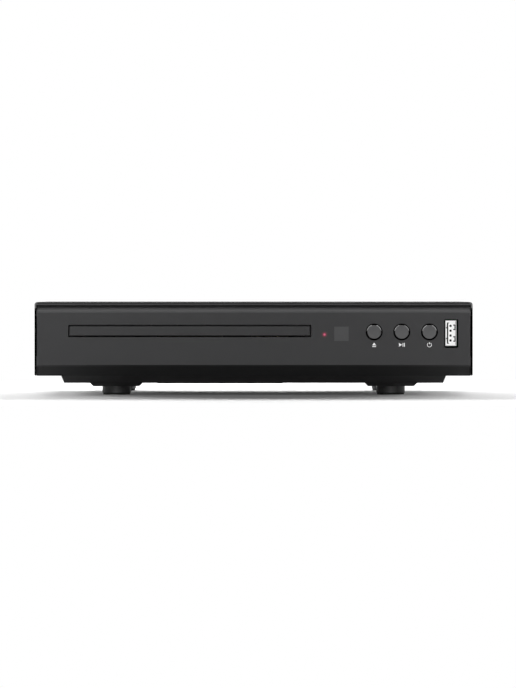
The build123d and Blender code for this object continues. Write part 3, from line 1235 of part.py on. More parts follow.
def make_hdmi_shell():
    """The metal shell of the flat digital socket, with its canted lower corners."""
    width, height = HDMI_SIZE
    base = BOARD_Z + BOARD
    y1 = REAR_Y + HDMI_PROUD
    y0 = y1 - HDMI_DEPTH

    def outline(wall):
        """The socket's six-sided section moved in by a wall."""
        half, low, high = width / 2 - wall, base + wall, base + height - wall
        knee = low + HDMI_CANT - wall * 0.4
        foot = half - HDMI_CANT
        return [(HDMI_X - half, high), (HDMI_X + half, high), (HDMI_X + half, knee),
                (HDMI_X + foot, low), (HDMI_X - foot, low), (HDMI_X - half, knee)]

    def prism(wall, start, end):
        """The section carried along Y."""
        points = [(x, start, z) for x, z in outline(wall)]
        return extrude(make_face(Polyline(*points, close=True)), amount=end - start, dir=(0, 1, 0))

    return prism(0, y0, y1) - prism(HDMI_SHEET, y0 + HDMI_SHEET, y1 + 1)


def make_hdmi_tongue():
    """The contact tongue inside the flat socket."""
    width, height = HDMI_SIZE
    z = BOARD_Z + BOARD + height / 2 + 0.4
    half = width / 2 - 1.6
    y1 = REAR_Y + HDMI_PROUD
    y0 = y1 - HDMI_DEPTH + HDMI_SHEET
    return block(HDMI_X - half, HDMI_X + half, y0, y1 - 1.2, z - 0.5, z + 0.5)


def make_mains_inlet():
    """The moulded mains inlet, with a flange outside the panel and a figure-of-eight well for the lead."""
    y0, y1 = REAR_Y - INLET_DEPTH, REAR_Y + 1.2
    inlet = inlet_solid(0.0, y0, y1) + inlet_solid(1.8, REAR_Y, y1)
    inlet -= inlet_solid(-INLET_WALL, y0 + 2.0, y1 + 1)
    for side in (-1, 1):
        inlet -= rod(INLET_X + side * INLET_HALF_PITCH, y0 - 1, y0 + 3, INLET_Z, INLET_PIN / 2)
    return inlet


def make_inlet_pins():
    """The inlet's two pins, with their tails inside the case."""
    pins = []
    for side in (-1, 1):
        x = INLET_X + side * INLET_HALF_PITCH
        pins.append(rod(x, REAR_Y - INLET_DEPTH - 4, REAR_Y - 1.5, INLET_Z, INLET_PIN / 2))
    return group(pins)


PIECES = {
    "top_cover": make_top_cover,
    "front_panel": make_front_panel,
    "bottom_chassis": make_bottom_chassis,
    "rear_panel": make_rear_panel,
    "feet": make_feet,
    "foot_pads": make_foot_pads,
    "foot_screws": make_foot_screws,
    "cover_screws": make_cover_screws,
    "tray_door": make_tray_door,
    "eject_button": lambda: make_button(0),
    "play_button": lambda: make_button(1),
    "power_button": lambda: make_button(2),
    "indicator_lens": make_indicator_lens,
    "ir_window": make_ir_window,
    "usb_shell": make_usb_shell,
    "usb_tongue": make_usb_tongue,
    "usb_contacts": make_usb_contacts,
    "front_board": make_front_board,
    "tact_switches": make_tact_switches,
    "indicator_led": make_indicator_led,
    "ir_receiver": make_ir_receiver,
    "ribbon_cable": make_ribbon_cable,
    "disc_tray": make_disc_tray,
    "loader_frame": make_loader_frame,
    "clamp_bridge": make_clamp_bridge,
    "clamper": make_clamper,
    "loader_screws": make_loader_screws,
    "load_motor": make_load_motor,
    "motor_pulley": make_motor_pulley,
    "drive_belt": make_drive_belt,
    "pulley_gear": make_pulley_gear,
    "tray_gear": make_tray_gear,
    "cam_slider": make_cam_slider,
    "traverse_frame": make_traverse_frame,
    "spindle_motor": make_spindle_motor,
    "spindle_rotor": make_spindle_rotor,
    "turntable": make_turntable,
    "turntable_pad": make_turntable_pad,
    "guide_rods": make_guide_rods,
    "feed_screw": make_feed_screw,
    "feed_motor": make_feed_motor,
    "pickup_body": make_pickup_body,
    "pickup_lens": make_pickup_lens,
    "main_board": make_main_board,
    "power_board": make_power_board,
    "board_screws": make_board_screws,
    "board_parts": make_board_parts,
    "transformer": make_transformer,
    "capacitors": make_capacitors,
    "heat_sink": make_heat_sink,
    "jack_housing": make_jack_housing,
    "jack_barrels": make_jack_barrels,
    "jack_insert_yellow": lambda: make_jack_insert(2),
    "jack_insert_orange": lambda: make_jack_insert(3),
    "jack_insert_white": lambda: make_jack_insert(0),
    "jack_insert_red": lambda: make_jack_insert(1),
    "hdmi_shell": make_hdmi_shell,
    "hdmi_tongue": make_hdmi_tongue,
    "mains_inlet": make_mains_inlet,
    "inlet_pins": make_inlet_pins,
}


def main():
    """Makes every piece and writes each one to its own file."""
    os.makedirs("parts", exist_ok=True)
    for node, make in PIECES.items():
        export_step(make(), f"parts/{node}.step")


if __name__ == "__main__":
    main()
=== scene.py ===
"""The looks of a compact disc player with a motorised tray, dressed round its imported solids.

Sizes are in metres in the player's own frame, seen from the front: +X is right, +Y goes in and +Z is up.
"""

import json
import logging
from collections.abc import Iterable, Sequence
from dataclasses import dataclass, field
from enum import Enum
from math import cos, hypot, pi, radians, sin
from typing import ClassVar

import bmesh
import bpy
from mathutils import Matrix, Vector


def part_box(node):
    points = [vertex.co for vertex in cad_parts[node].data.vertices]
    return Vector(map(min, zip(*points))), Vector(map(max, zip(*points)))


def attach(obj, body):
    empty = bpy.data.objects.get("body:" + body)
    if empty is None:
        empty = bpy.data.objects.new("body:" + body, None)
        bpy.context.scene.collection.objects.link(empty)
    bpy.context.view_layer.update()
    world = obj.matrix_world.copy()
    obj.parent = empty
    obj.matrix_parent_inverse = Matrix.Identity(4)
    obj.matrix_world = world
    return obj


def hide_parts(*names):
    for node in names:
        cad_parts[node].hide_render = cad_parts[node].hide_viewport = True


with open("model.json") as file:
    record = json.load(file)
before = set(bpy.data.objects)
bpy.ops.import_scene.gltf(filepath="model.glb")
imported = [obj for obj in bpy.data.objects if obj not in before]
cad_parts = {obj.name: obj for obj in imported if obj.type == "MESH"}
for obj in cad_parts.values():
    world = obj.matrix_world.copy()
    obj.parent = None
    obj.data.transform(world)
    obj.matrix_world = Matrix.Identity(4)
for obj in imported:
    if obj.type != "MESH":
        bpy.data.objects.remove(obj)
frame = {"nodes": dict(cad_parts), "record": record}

log = logging.getLogger("player")

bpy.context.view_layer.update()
MM = 0.001

Pair = tuple[float, float]
Point = tuple[float, float, float]
Colour = tuple[float, float, float]
Mesh = bmesh.types.BMesh
Thing = bpy.types.Object
Socket = bpy.types.NodeSocket


def grey(level: float, tint: float = 0.0) -> Colour:
    """A display grey as a linear colour.

    Args:
        level: The display value, from 0 to 255.
        tint: How much bluer the colour is, in display steps.

    Returns:
        The linear red, green and blue.
    """
    return srgb(level, level, level + tint)


def srgb(red: float, green: float, blue: float) -> Colour:
    """A display colour from 0 to 255 as a linear one.

    Args:
        red: The display red.
        green: The display green.
        blue: The display blue.

    Returns:
        The linear red, green and blue.
    """
    def linear(value: float) -> float:
        """One channel, made linear."""
        share = value / 255
        return share / 12.92 if share <= 0.04045 else ((share + 0.055) / 1.055) ** 2.4

    return linear(red), linear(green), linear(blue)


class Term:
    """A number in a shader, which takes part in Python expressions."""

    def __init__(self, graph: "Graph", socket: Socket) -> None:
        """Wraps a socket of a graph."""
        self.graph = graph
        self.socket = socket

    def _with(self, operation: str, *others: "Term | float") -> "Term":
        """A Math node on this number and others."""
        node = self.graph.node("ShaderNodeMath", {"operation": operation}, dict(enumerate((self, *others))))
        return Term(self.graph, node.outputs[0])

    def __add__(self, other: "Term | float") -> "Term":
        """The sum."""
        return self._with("ADD", other)

    __radd__ = __add__

    def __mul__(self, other: "Term | float") -> "Term":
        """The product."""
        return self._with("MULTIPLY", other)

    __rmul__ = __mul__

    def __sub__(self, other: "Term | float") -> "Term":
        """The difference."""
        return self._with("SUBTRACT", other)

    def __rsub__(self, other: float) -> "Term":
        """The difference, from a plain number."""
        return self.graph.number(other)._with("SUBTRACT", self)

    def __truediv__(self, other: "Term | float") -> "Term":
        """The quotient."""
        return self._with("DIVIDE", other)

    def __gt__(self, other: "Term | float") -> "Term":
        """1 where this is greater, else 0."""
        return self._with("GREATER_THAN", other)

    def __lt__(self, other: "Term | float") -> "Term":
        """1 where this is less, else 0."""
        return self._with("LESS_THAN", other)

    def __abs__(self) -> "Term":
        """The size without its sign."""
        return self._with("ABSOLUTE")

    def most(self, other: "Term | float") -> "Term":
        """The greater of the two."""
        return self._with("MAXIMUM", other)

    def fraction(self) -> "Term":
        """What is left past the whole number."""
        return self._with("FRACT")

    def span(self, other: "Term") -> "Term":
        """The distance that lies this far one way and that far the other way."""
        return (self * self + other * other)._with("SQRT")

    def ramp(self, low: float, high: float) -> "Term":
        """This number taken from low..high to 0..1 and held there.

        Args:
            low: What becomes 0.
            high: What becomes 1.

        Returns:
            The new number.
        """
        ends = {0: self, 1: low, 2: high, 3: 0.0, 4: 1.0}
        node = self.graph.node("ShaderNodeMapRange", {"clamp": True}, ends)
        return Term(self.graph, node.outputs[0])


class Graph:
    """A material's or a world's node tree with its shader."""

    def __init__(self, name: str, world: bool = False) -> None:
        """Makes the tree.

        Args:
            name: The material's or world's name.
            world: Whether it is a world's.
        """
        self.material = (bpy.data.worlds if world else bpy.data.materials).new(name)
        self.material.use_nodes = True
        self.tree = self.material.node_tree
        self.shader = self.tree.nodes["Background" if world else "Principled BSDF"]
        self._object: Socket | None = None

    def node(self, kind: str, settings: dict | None = None, sockets: dict | None = None) -> bpy.types.Node:
        """Adds a node of any kind.

        Args:
            kind: The node's type.
            settings: Its own settings by name.
            sockets: Values or links by the socket's name or number.

        Returns:
            The node.
        """
        node = self.tree.nodes.new(kind)
        for key, value in (settings or {}).items():
            setattr(node, key, value)
        for key, value in (sockets or {}).items():
            self.feed(node.inputs[key], value)
        return node

    def feed(self, socket: Socket, value: object) -> None:
        """Sets or links a socket.

        Args:
            socket: The socket.
            value: A plain value to set it to, or a term or another socket to link it to.
        """
        if isinstance(value, Term):
            value = value.socket
        if isinstance(value, Socket):
            self.tree.links.new(value, socket)
        elif isinstance(value, tuple) and len(value) == 3 and socket.type == "RGBA":
            socket.default_value = (*value, 1.0)
        else:
            socket.default_value = value

    def number(self, value: float) -> Term:
        """A plain number as a term.

        Args:
            value: The number.

        Returns:
            The term.
        """
        node = self.node("ShaderNodeValue")
        node.outputs[0].default_value = value
        return Term(self, node.outputs[0])

    def place(self) -> Socket:
        """The place on the piece itself, in metres.

        Returns:
            Its socket, of one node for the whole tree.
        """
        if self._object is None:
            self._object = self.node("ShaderNodeTexCoord").outputs["Object"]
        return self._object

    def axes(self) -> tuple[Term, Term, Term]:
        """X, Y and Z of the place, as three terms."""
        split = self.node("ShaderNodeSeparateXYZ", None, {0: self.place()})
        return tuple(Term(self, out) for out in split.outputs)

    def rays(self, *kinds: str) -> Term:
        """Tells rays apart.

        Args:
            *kinds: The rays' names at the Light Path node.

        Returns:
            1 for rays of any of those kinds, else 0.
        """
        path = self.node("ShaderNodeLightPath")
        shown = Term(self, path.outputs[kinds[0]])
        for kind in kinds[1:]:
            shown = shown.most(Term(self, path.outputs[kind]))
        return shown

    def facing(self) -> tuple[Term, Term, Term]:
        """The surface's own direction.

        Returns:
            Its X, Y and Z, as three terms.
        """
        normal = self.node("ShaderNodeTexCoord").outputs["Normal"]
        split = self.node("ShaderNodeSeparateXYZ", None, {0: normal})
        return tuple(Term(self, out) for out in split.outputs)

    def noise(self, scale: float, detail: float = 2.0, stretch: Point = (1.0, 1.0, 1.0)) -> Term:
        """Soft noise from 0 to 1.

        Args:
            scale: How many waves there are in a metre.
            detail: How many finer layers it has.
            stretch: A factor on the scale along each axis.

        Returns:
            The noise.
        """
        where = self.node("ShaderNodeVectorMath", {"operation": "MULTIPLY"}, {0: self.place(), 1: stretch})
        settings = {0: where.outputs[0], "Scale": scale, "Detail": detail}
        node = self.node("ShaderNodeTexNoise", {"noise_dimensions": "3D"}, settings)
        return Term(self, node.outputs["Fac"])

    def blend(self, share: Term | float, low: object, high: object) -> Socket:
        """A colour between two others.

        Args:
            share: 0 for the low colour and 1 for the high one.
            low: The first colour or socket.
            high: The second colour or socket.

        Returns:
            The mixed colour's socket.
        """
        mix = self.node("ShaderNodeMix", {"data_type": "RGBA"}, {"Factor": share})
        self.feed(mix.inputs[6], low)
        self.feed(mix.inputs[7], high)
        return mix.outputs[2]

    def bump(self, height: Term, depth: float, strength: float = 1.0) -> None:
        """Feeds the shader's normal from a height.

        Args:
            height: The height, from 0 to 1.
            depth: What 1 stands for, in metres.
            strength: How much of it shows.
        """
        node = self.node("ShaderNodeBump", None, {"Strength": strength, "Distance": depth, "Height": height})
        self.feed(self.shader.inputs["Normal"], node.outputs[0])

    def cover(self, share: Term, other: bpy.types.Node) -> None:
        """Covers a share of the surface with another shader.

        Args:
            share: The share, from 0 to 1.
            other: The other shader.
        """
        shaders = {1: self.shader.outputs[0], 2: other.outputs[0]}
        mix = self.node("ShaderNodeMixShader", None, {0: share} | shaders)
        self.feed(self.tree.nodes["Material Output"].inputs["Surface"], mix.outputs[0])

    def veil(self, share: Term) -> None:
        """Covers a share of the surface, from 0 to 1, with flat black."""
        self.cover(share, self.node("ShaderNodeBsdfDiffuse", None, {"Color": (0.0, 0.0, 0.0)}))

    def set(self, **values: object) -> None:
        """Sets or links the shader's own sockets, named with underscores for spaces."""
        for key, value in values.items():
            self.feed(self.shader.inputs[key.replace("_", " ")], value)


@dataclass(frozen=True)
class Finish:
    """A finish that is the same kind all over: its colour, gloss and fine grain."""

    name: str
    colour: Colour
    roughness: float = 0.5
    metallic: float = 0.0
    mottle: float = 0.06
    grain: float = 900.0
    grain_depth: float = 0.00002
    streak: Point = (1.0, 1.0, 1.0)
    coat: float = 0.0
    transmission: float = 0.0
    specular: float = 0.5
    refraction: float = 1.45
    cloud: Pair = (45.0, 3.0)
    gloss_swing: float = 0.25
    shared_slot: str = ""

    @property
    def slot(self) -> str:
        """The name of the finish's slot: its own name, unless it shares another's slot."""
        return self.shared_slot or self.name

    @property
    def title(self) -> str:
        """The material's name."""
        return f"{self.name}_finish"

    def mottled(self, graph: Graph, share: Term) -> Socket:
        """The colour, a little darker where the share is 0 and lighter where it is 1."""
        low, high = (tuple(min(1.0, c * (1 + side * self.mottle)) for c in self.colour) for side in (-1, 1))
        return graph.blend(share, low, high)

    def graph(self) -> Graph:
        """The finish's nodes, with the colour, gloss and grain set.

        Returns:
            The graph, which a richer finish adds to.
        """
        graph = Graph(self.title)
        cloud = graph.noise(*self.cloud, self.streak)
        fine = graph.noise(self.grain, 2.0, self.streak)
        graph.set(Base_Color=self.mottled(graph, cloud), Metallic=self.metallic, IOR=self.refraction)
        graph.set(Roughness=self.roughness + (fine - 0.5) * (self.roughness * self.gloss_swing))
        graph.set(Specular_IOR_Level=self.specular, Coat_Weight=self.coat)
        graph.set(Transmission_Weight=self.transmission)
        graph.bump(fine, self.grain_depth)
        return graph

    def material(self) -> bpy.types.Material:
        """The finish's material, made once."""
        return bpy.data.materials.get(self.title) or self.graph().material

    def dress(self, *objects: Thing) -> None:
        """Gives objects this finish alone.

        Args:
            *objects: The objects.
        """
        for thing in objects:
            thing.data.materials.clear()
            thing.data.materials.append(self.material())


@dataclass(frozen=True)
class CoverPaint(Finish):
    """Fine textured paint on folded sheet, with painted shade on its cut front edges and on its top, and a
    painted highlight on the front of the hem and on the two bends.
    """

    waves: tuple[Pair, ...] = ((2600.0, 3.0), (420.0, 2.0), (22.0, 3.0))
    grit_share: float = 0.4
    swing: float = 0.16
    # Painted highlight: a lighter grey on the two rounded bends at the front, for the light that they catch.
    bend_highlight: Colour = grey(104)
    forward: float = -0.8
    side_x: float = 111.7 * MM
    side_top: float = 44.6 * MM
    bend_x: float = 111.0 * MM
    bend_z: float = 46.3 * MM
    bend_inner: float = 0.85 * MM
    # Painted shade: a darker grey and a share of flat black on the top cut edge at the front.
    edge: Colour = grey(33, 1)
    edge_low: float = 46.9 * MM
    edge_shade: float = 0.35
    # Painted highlight: a lighter grey on the front of the hem.
    hem: Colour = grey(57, 1)
    hem_low: float = 46.2 * MM
    # Painted shade: a share of flat black on what faces up.
    top_shade: float = 0.35
    top_tilt: Pair = (0.6, 1.0)

    def graph(self) -> Graph:
        """The paint's nodes: orange peel, fine grit, painted highlights on the front of the hem and the
        bends, and painted shade on the cut front edges and the top.

        Returns:
            The graph.
        """
        graph = Graph(self.title)
        x, _, z = graph.axes()
        _, ahead, up = graph.facing()
        forward, at_side, at_edge = ahead < self.forward, abs(x) > self.side_x, z > self.edge_low
        grit, peel, cloud = (graph.noise(*wave) for wave in self.waves)
        paint = self.mottled(graph, cloud * (1 - self.grit_share) + grit * self.grit_share)
        # Painted highlight on the front of the hem, then painted shade on the top cut edge.
        paint = graph.blend(forward * (z > self.hem_low), paint, self.hem)
        paint = graph.blend(forward * at_edge, paint, self.edge)
        # Painted highlight on the front of the two bends.
        across, rise = abs(x) - self.bend_x, z - self.bend_z
        rim = (rise > 0) * (across.span(rise) > self.bend_inner)
        bend = (across > 0) * rim.most(at_side * (z > self.side_top)) * forward
        graph.set(Base_Color=graph.blend(bend, paint, self.bend_highlight), IOR=self.refraction)
        graph.set(Roughness=self.roughness + (grit - 0.5) * self.swing, Specular_IOR_Level=self.specular)
        graph.bump(grit * 0.5 + peel * 0.5, self.grain_depth)
        # Painted shade: flat black on the side cut edges, and a share of it on the top cut edge and on what
        # faces up.
        cut = at_side * forward * (z < self.side_top)
        edge = forward * (across < 0) * at_edge * self.edge_shade
        graph.veil(cut.most(edge).most(up.ramp(*self.top_tilt) * self.top_shade))
        return graph


@dataclass(frozen=True)
class PanelPlastic(Finish):
    """Moulded front plastic with painted light and shade: flat black inside its openings, darker tones on
    what looks down, lighter and darker tones across its face, and the indicator's glow painted round its
    lens.
    """

    # Painted shade: what looks down this much takes the darker underside tones.
    down_tilt: Pair = (-0.2, -0.4)
    # Painted shade: flat black on the walls inside the openings, behind the face's skin.
    skin: float = 0.15 * MM
    openings: Pair = (20.0 * MM, 40.5 * MM)
    # Painted light: the panel itself glows round the indicator's lens.
    glow: Colour = srgb(86, 20, 34)
    glow_reach: Pair = (1.75 * MM, 0.7 * MM)
    # Painted shade: a share of flat black along the lower lip towards the ends.
    lip: float = 0.45 * MM
    lip_start: float = 98.0 * MM
    lip_shade: float = 0.8
    # Painted shade: a share of flat black on the ledge under the cover's hem.
    ledge_z: float = 45.1 * MM
    ledge_shade: float = 0.3
    # Painted shade: flat black round the front socket's seat.
    seat_half: Pair = (3.6 * MM, 7.35 * MM)
    seat_shift: Pair = (0.17 * MM, -0.2 * MM)
    seat_corner: float = 0.9 * MM
    # Painted shade on what looks down: darker towards the ends, lighter near the top.
    below: Colour = grey(38, 1)
    below_end_shade: Colour = grey(26, 1)
    below_fade: Pair = (50.0 * MM, 95.0 * MM)
    below_top_light: Colour = grey(50, 1)
    below_rise: Pair = (14.4 * MM, 15.3 * MM)
    # Painted light on the face: lighter in the lower middle.
    middle: Colour = grey(62, 1)
    middle_fade: Pair = (100.0 * MM, 40.0 * MM)
    middle_rise: Pair = (38.0 * MM, 17.0 * MM)
    # Painted shade on the face: darker at the ends.
    end: Colour = grey(54, 1)
    end_fade: Pair = (75.0 * MM, 108.0 * MM)
    # Painted highlight on the upper band of the face.
    band_highlight: Colour = grey(70, 1)
    crest_foot: Pair = (42.1 * MM, 42.5 * MM)
    crest_fade: Pair = (43.3 * MM, 42.7 * MM)
    crest_top: Pair = (44.1 * MM, 44.5 * MM)

    def graph(self) -> Graph:
        """The plastic's nodes: its tones with painted light and shade, the painted shade of flat black and
        the painted glow.

        Returns:
            The graph.
        """
        graph = super().graph()
        x, y, z = graph.axes()
        _, _, up = graph.facing()
        face, below = self.face(graph, abs(x), z), self.underside(graph, abs(x), z)
        # Painted shade: what looks down takes the darker underside tones.
        graph.set(Base_Color=graph.blend(up.ramp(*self.down_tilt), face, below))
        # Painted shade: flat black on the openings, the lips, the ledge and the socket's rim.
        graph.veil(self.unlit(x, y, z))
        # Painted light: the glow round the indicator's lens.
        across, rise = Places.off_middle("indicator_lens", x, z)
        near = across.span(rise).ramp(*self.glow_reach)
        graph.set(Emission_Color=graph.blend(near, grey(0), self.glow), Emission_Strength=1.0)
        return graph

    def face(self, graph: Graph, off: Term, z: Term) -> Socket:
        """The face's tone, with painted light and shade: lighter in the lower middle, darker at the ends, and
        a painted highlight on the upper band.

        Args:
            graph: The plastic's nodes.
            off: The distance from the middle of the front.
            z: The height.

        Returns:
            The tone's socket.
        """
        low = tuple(c * (1 - self.mottle) for c in self.colour)
        tone = graph.blend(graph.noise(*self.cloud), low, self.colour)
        # Painted shade at the ends, painted light in the lower middle, and a painted highlight on the upper
        # band.
        tone = graph.blend(off.ramp(*self.end_fade), tone, self.end)
        tone = graph.blend(off.ramp(*self.middle_fade) * z.ramp(*self.middle_rise), tone, self.middle)
        band_highlight = z.ramp(*self.crest_foot) * z.ramp(*self.crest_fade)
        band_highlight = band_highlight + z.ramp(*self.crest_top) * (z < self.ledge_z)
        return graph.blend(band_highlight, tone, self.band_highlight)

    def underside(self, graph: Graph, off: Term, z: Term) -> Socket:
        """The painted shade of what looks down: darker towards the ends and lighter near its top, by the
        distance from the middle and the height.
        """
        tone = graph.blend(off.ramp(*self.below_fade), self.below, self.below_end_shade)
        return graph.blend(z.ramp(*self.below_rise), tone, self.below_top_light)

    def unlit(self, x: Term, y: Term, z: Term) -> Term:
        """The painted shade of flat black: the openings' walls, the lower lips, the ledge and the socket's
        rim.

        Args:
            x: The place across the front.
            y: The place in depth.
            z: The height.

        Returns:
            The share of black.
        """
        low, high = self.openings
        sunk = (y > Places().face_y + self.skin) * (z > low) * (z < high)
        lip = (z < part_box("front_panel")[0][2] + self.lip) * (abs(x) > self.lip_start) * self.lip_shade
        offs = Places.off_middle("usb_shell", x - self.seat_shift[0], z - self.seat_shift[1])
        wide, tall = ((off - (half - self.seat_corner)).most(0.0) for off, half in zip(offs, self.seat_half))
        seat = wide.span(tall) < self.seat_corner
        return sunk.most(lip).most(seat).most((z > self.ledge_z) * self.ledge_shade)


@dataclass(frozen=True)
class PanSteel(Finish):
    """Painted pan steel, with painted shade that makes it darker towards its two ends."""

    # Painted shade: the darker tone at the two ends.
    end: Colour = grey(40, 1)
    fade: Pair = (50.0 * MM, 95.0 * MM)

    def graph(self) -> Graph:
        """The steel's nodes, with the painted shade told by the distance from the middle.

        Returns:
            The graph.
        """
        graph = super().graph()
        x, _, _ = graph.axes()
        graph.set(Base_Color=graph.blend(abs(x).ramp(*self.fade), self.colour, self.end))
        return graph


@dataclass(frozen=True)
class ButtonPlastic(Finish):
    """Button plastic with two bright painted highlights curving along its rim, and painted shade of flat
    black on the rest of the rim and behind it.
    """

    # Painted shade: flat black on what lies this far behind the face.
    skin: float = 0.9 * MM
    # Painted highlight: the colour of the two bright curves on the upper rim.
    arc: Colour = grey(163)
    rim_start: float = -0.955
    arc_gap: float = 0.38
    arc_end: float = 0.12

    def graph(self) -> Graph:
        """The plastic's nodes, with the rim's painted highlights and painted shade told by the way that its
        surface faces.

        Returns:
            The graph.
        """
        graph = super().graph()
        side, ahead, up = graph.facing()
        _, y, _ = graph.axes()
        rim = ahead > self.rim_start
        rim_highlights = rim * (up > self.arc_end) * (abs(side) > up * self.arc_gap)
        graph.set(Base_Color=graph.blend(rim_highlights, self.colour, self.arc))
        # Painted shade: flat black on the rest of the rim and behind the cap.
        graph.veil((rim - rim_highlights).most(y > Places().face_y + self.skin))
        return graph


@dataclass(frozen=True)
class FootPlastic(Finish):
    """Foot plastic with a painted highlight down the middle of each foot."""

    # Painted highlight down the front middle of each foot.
    painted_sheen: Colour = grey(131, 1)
    spread: float = 0.45

    def graph(self) -> Graph:
        """The plastic's nodes, with the painted highlight told by the way that the surface faces.

        Returns:
            The graph.
        """
        graph = super().graph()
        side, ahead, _ = graph.facing()
        middle = abs(side).ramp(self.spread, 0.0) * (ahead < 0)
        graph.set(Base_Color=graph.blend(middle, self.colour, self.painted_sheen))
        return graph


@dataclass(frozen=True)
class WindowPlastic(Finish):
    """Window plastic that fades into the panel's colour at its edges."""

    edge: Colour = grey(44, 1)
    fade: float = 0.7 * MM

    def graph(self) -> Graph:
        """The plastic's nodes, with the fade told by the distance to the nearest edge.

        Returns:
            The graph.
        """
        graph = super().graph()
        x, _, z = graph.axes()
        across, rise = Places.off_middle("ir_window", x, z)
        half = Places.half("ir_window")[0]
        share = across.most(rise).ramp(half - self.fade, half)
        graph.set(Base_Color=graph.blend(share, self.colour, self.edge))
        return graph


@dataclass(frozen=True)
class Glow(Finish):
    """A finish that glows: a small lit window, and surfaces with painted light."""

    glow: Colour = srgb(188, 84, 110)
    strength: float = 1.0

    def graph(self) -> Graph:
        """The finish's nodes, with its own light.

        Returns:
            The graph.
        """
        graph = super().graph()
        graph.set(Emission_Color=self.glow, Emission_Strength=self.strength)
        return graph


@dataclass(frozen=True)
class FacedGlow(Glow):
    """A surface of painted light: it glows bright where it looks forward and dimmer, as painted shade, where
    it doesn't.
    """

    # Painted shade: the dimmer glow on what looks sideways.
    side: Colour = grey(120)
    side_tilt: Pair = (-0.5, -0.9)

    def graph(self) -> Graph:
        """The surface's nodes, with the glow told by the way that it faces.

        Returns:
            The graph.
        """
        graph = super().graph()
        _, ahead, _ = graph.facing()
        graph.set(Emission_Color=graph.blend(ahead.ramp(*self.side_tilt), self.side, self.glow))
        return graph


@dataclass(frozen=True)
class SocketMetal(FacedGlow):
    """Socket metal with a painted reflection that makes it glow bright, and painted shade of flat black on
    its outer skin, which reads as a dark line round the socket.
    """

    skin: float = 0.14 * MM

    def graph(self) -> Graph:
        """The metal's nodes, with the painted shade on the skin told by the distance to the shell's own box.

        Returns:
            The graph.
        """
        graph = super().graph()
        x, _, z = graph.axes()
        across, rise = Places.off_middle("usb_shell", x, z)
        half = Places.half("usb_shell")
        # Painted shade: flat black on the outer skin.
        graph.veil((across > half[0] - self.skin).most(rise > half[2] - self.skin))
        return graph


@dataclass(frozen=True)
class IndicatorLens(Glow):
    """A lens that is brightest in its middle."""

    dim: Colour = srgb(96, 26, 44)
    reach: Pair = (0.35 * MM, 0.8 * MM)

    def graph(self) -> Graph:
        """The lens's nodes, with the light falling off from its middle.

        Returns:
            The graph.
        """
        graph = super().graph()
        x, _, z = graph.axes()
        across, rise = Places.off_middle("indicator_lens", x, z)
        graph.set(Emission_Color=graph.blend(across.span(rise).ramp(*self.reach), self.glow, self.dim))
        return graph


@dataclass(frozen=True)
class CircuitBoard(Finish):
    """Solder mask over copper tracks, with rows of tinned pads."""

    track: Colour = srgb(40, 128, 66)
    pad: Colour = srgb(190, 186, 170)
    track_edge: Pair = (0.11, 0.07)
    pitch: float = 5.2 * MM
    unevenness: float = 0.35
    pad_pitch: float = 2.54 * MM
    pad_reach: float = 0.2646
    pad_cloud: Pair = (60.0, 1.0)
    pad_free: float = 0.56
    pad_gloss: float = 0.1
    pad_metal: float = 0.8
    pad_rise: float = 0.4
    relief: float = 0.04 * MM

    def graph(self) -> Graph:
        """The board's nodes: tracks from cell edges, pads on a grid.

        Returns:
            The graph.
        """
        graph = Graph(self.title)
        x, y, _ = graph.axes()
        settings = {0: graph.place(), "Scale": 1 / self.pitch, "Randomness": self.unevenness}
        cells = graph.node("ShaderNodeTexVoronoi", {"feature": "DISTANCE_TO_EDGE"}, settings)
        track = Term(graph, cells.outputs["Distance"]).ramp(*self.track_edge)
        across, along = (abs((place / self.pad_pitch).fraction() - 0.5) for place in (x, y))
        pads = (across.span(along) < self.pad_reach) * (graph.noise(*self.pad_cloud) > self.pad_free)
        mask = graph.blend(track, self.colour, self.track)
        graph.set(Base_Color=graph.blend(pads, mask, self.pad))
        graph.set(Roughness=self.roughness - pads * self.pad_gloss, Metallic=pads * self.pad_metal)
        graph.bump(track * (1 - self.pad_rise) + pads * self.pad_rise, self.relief)
        return graph


@dataclass(frozen=True)
class Brushed(Finish):
    """Rolled or ground metal with fine lines along one way."""

    stain: Pair = (70.0, 4.0)
    line_share: float = 0.3
    line_swing: float = 0.2
    stain_swing: float = 0.1

    def graph(self) -> Graph:
        """The metal's nodes: streaks in the gloss and a faint stain.

        Returns:
            The graph.
        """
        graph = Graph(self.title)
        lines = graph.noise(self.grain, 2.0, self.streak)
        stain = graph.noise(*self.stain)
        cloud = stain * (1 - self.line_share) + lines * self.line_share
        graph.set(Base_Color=self.mottled(graph, cloud), Metallic=self.metallic)
        swing = (lines - 0.5) * self.line_swing + (stain - 0.5) * self.stain_swing
        graph.set(Roughness=self.roughness + swing)
        graph.bump(lines, self.grain_depth)
        return graph


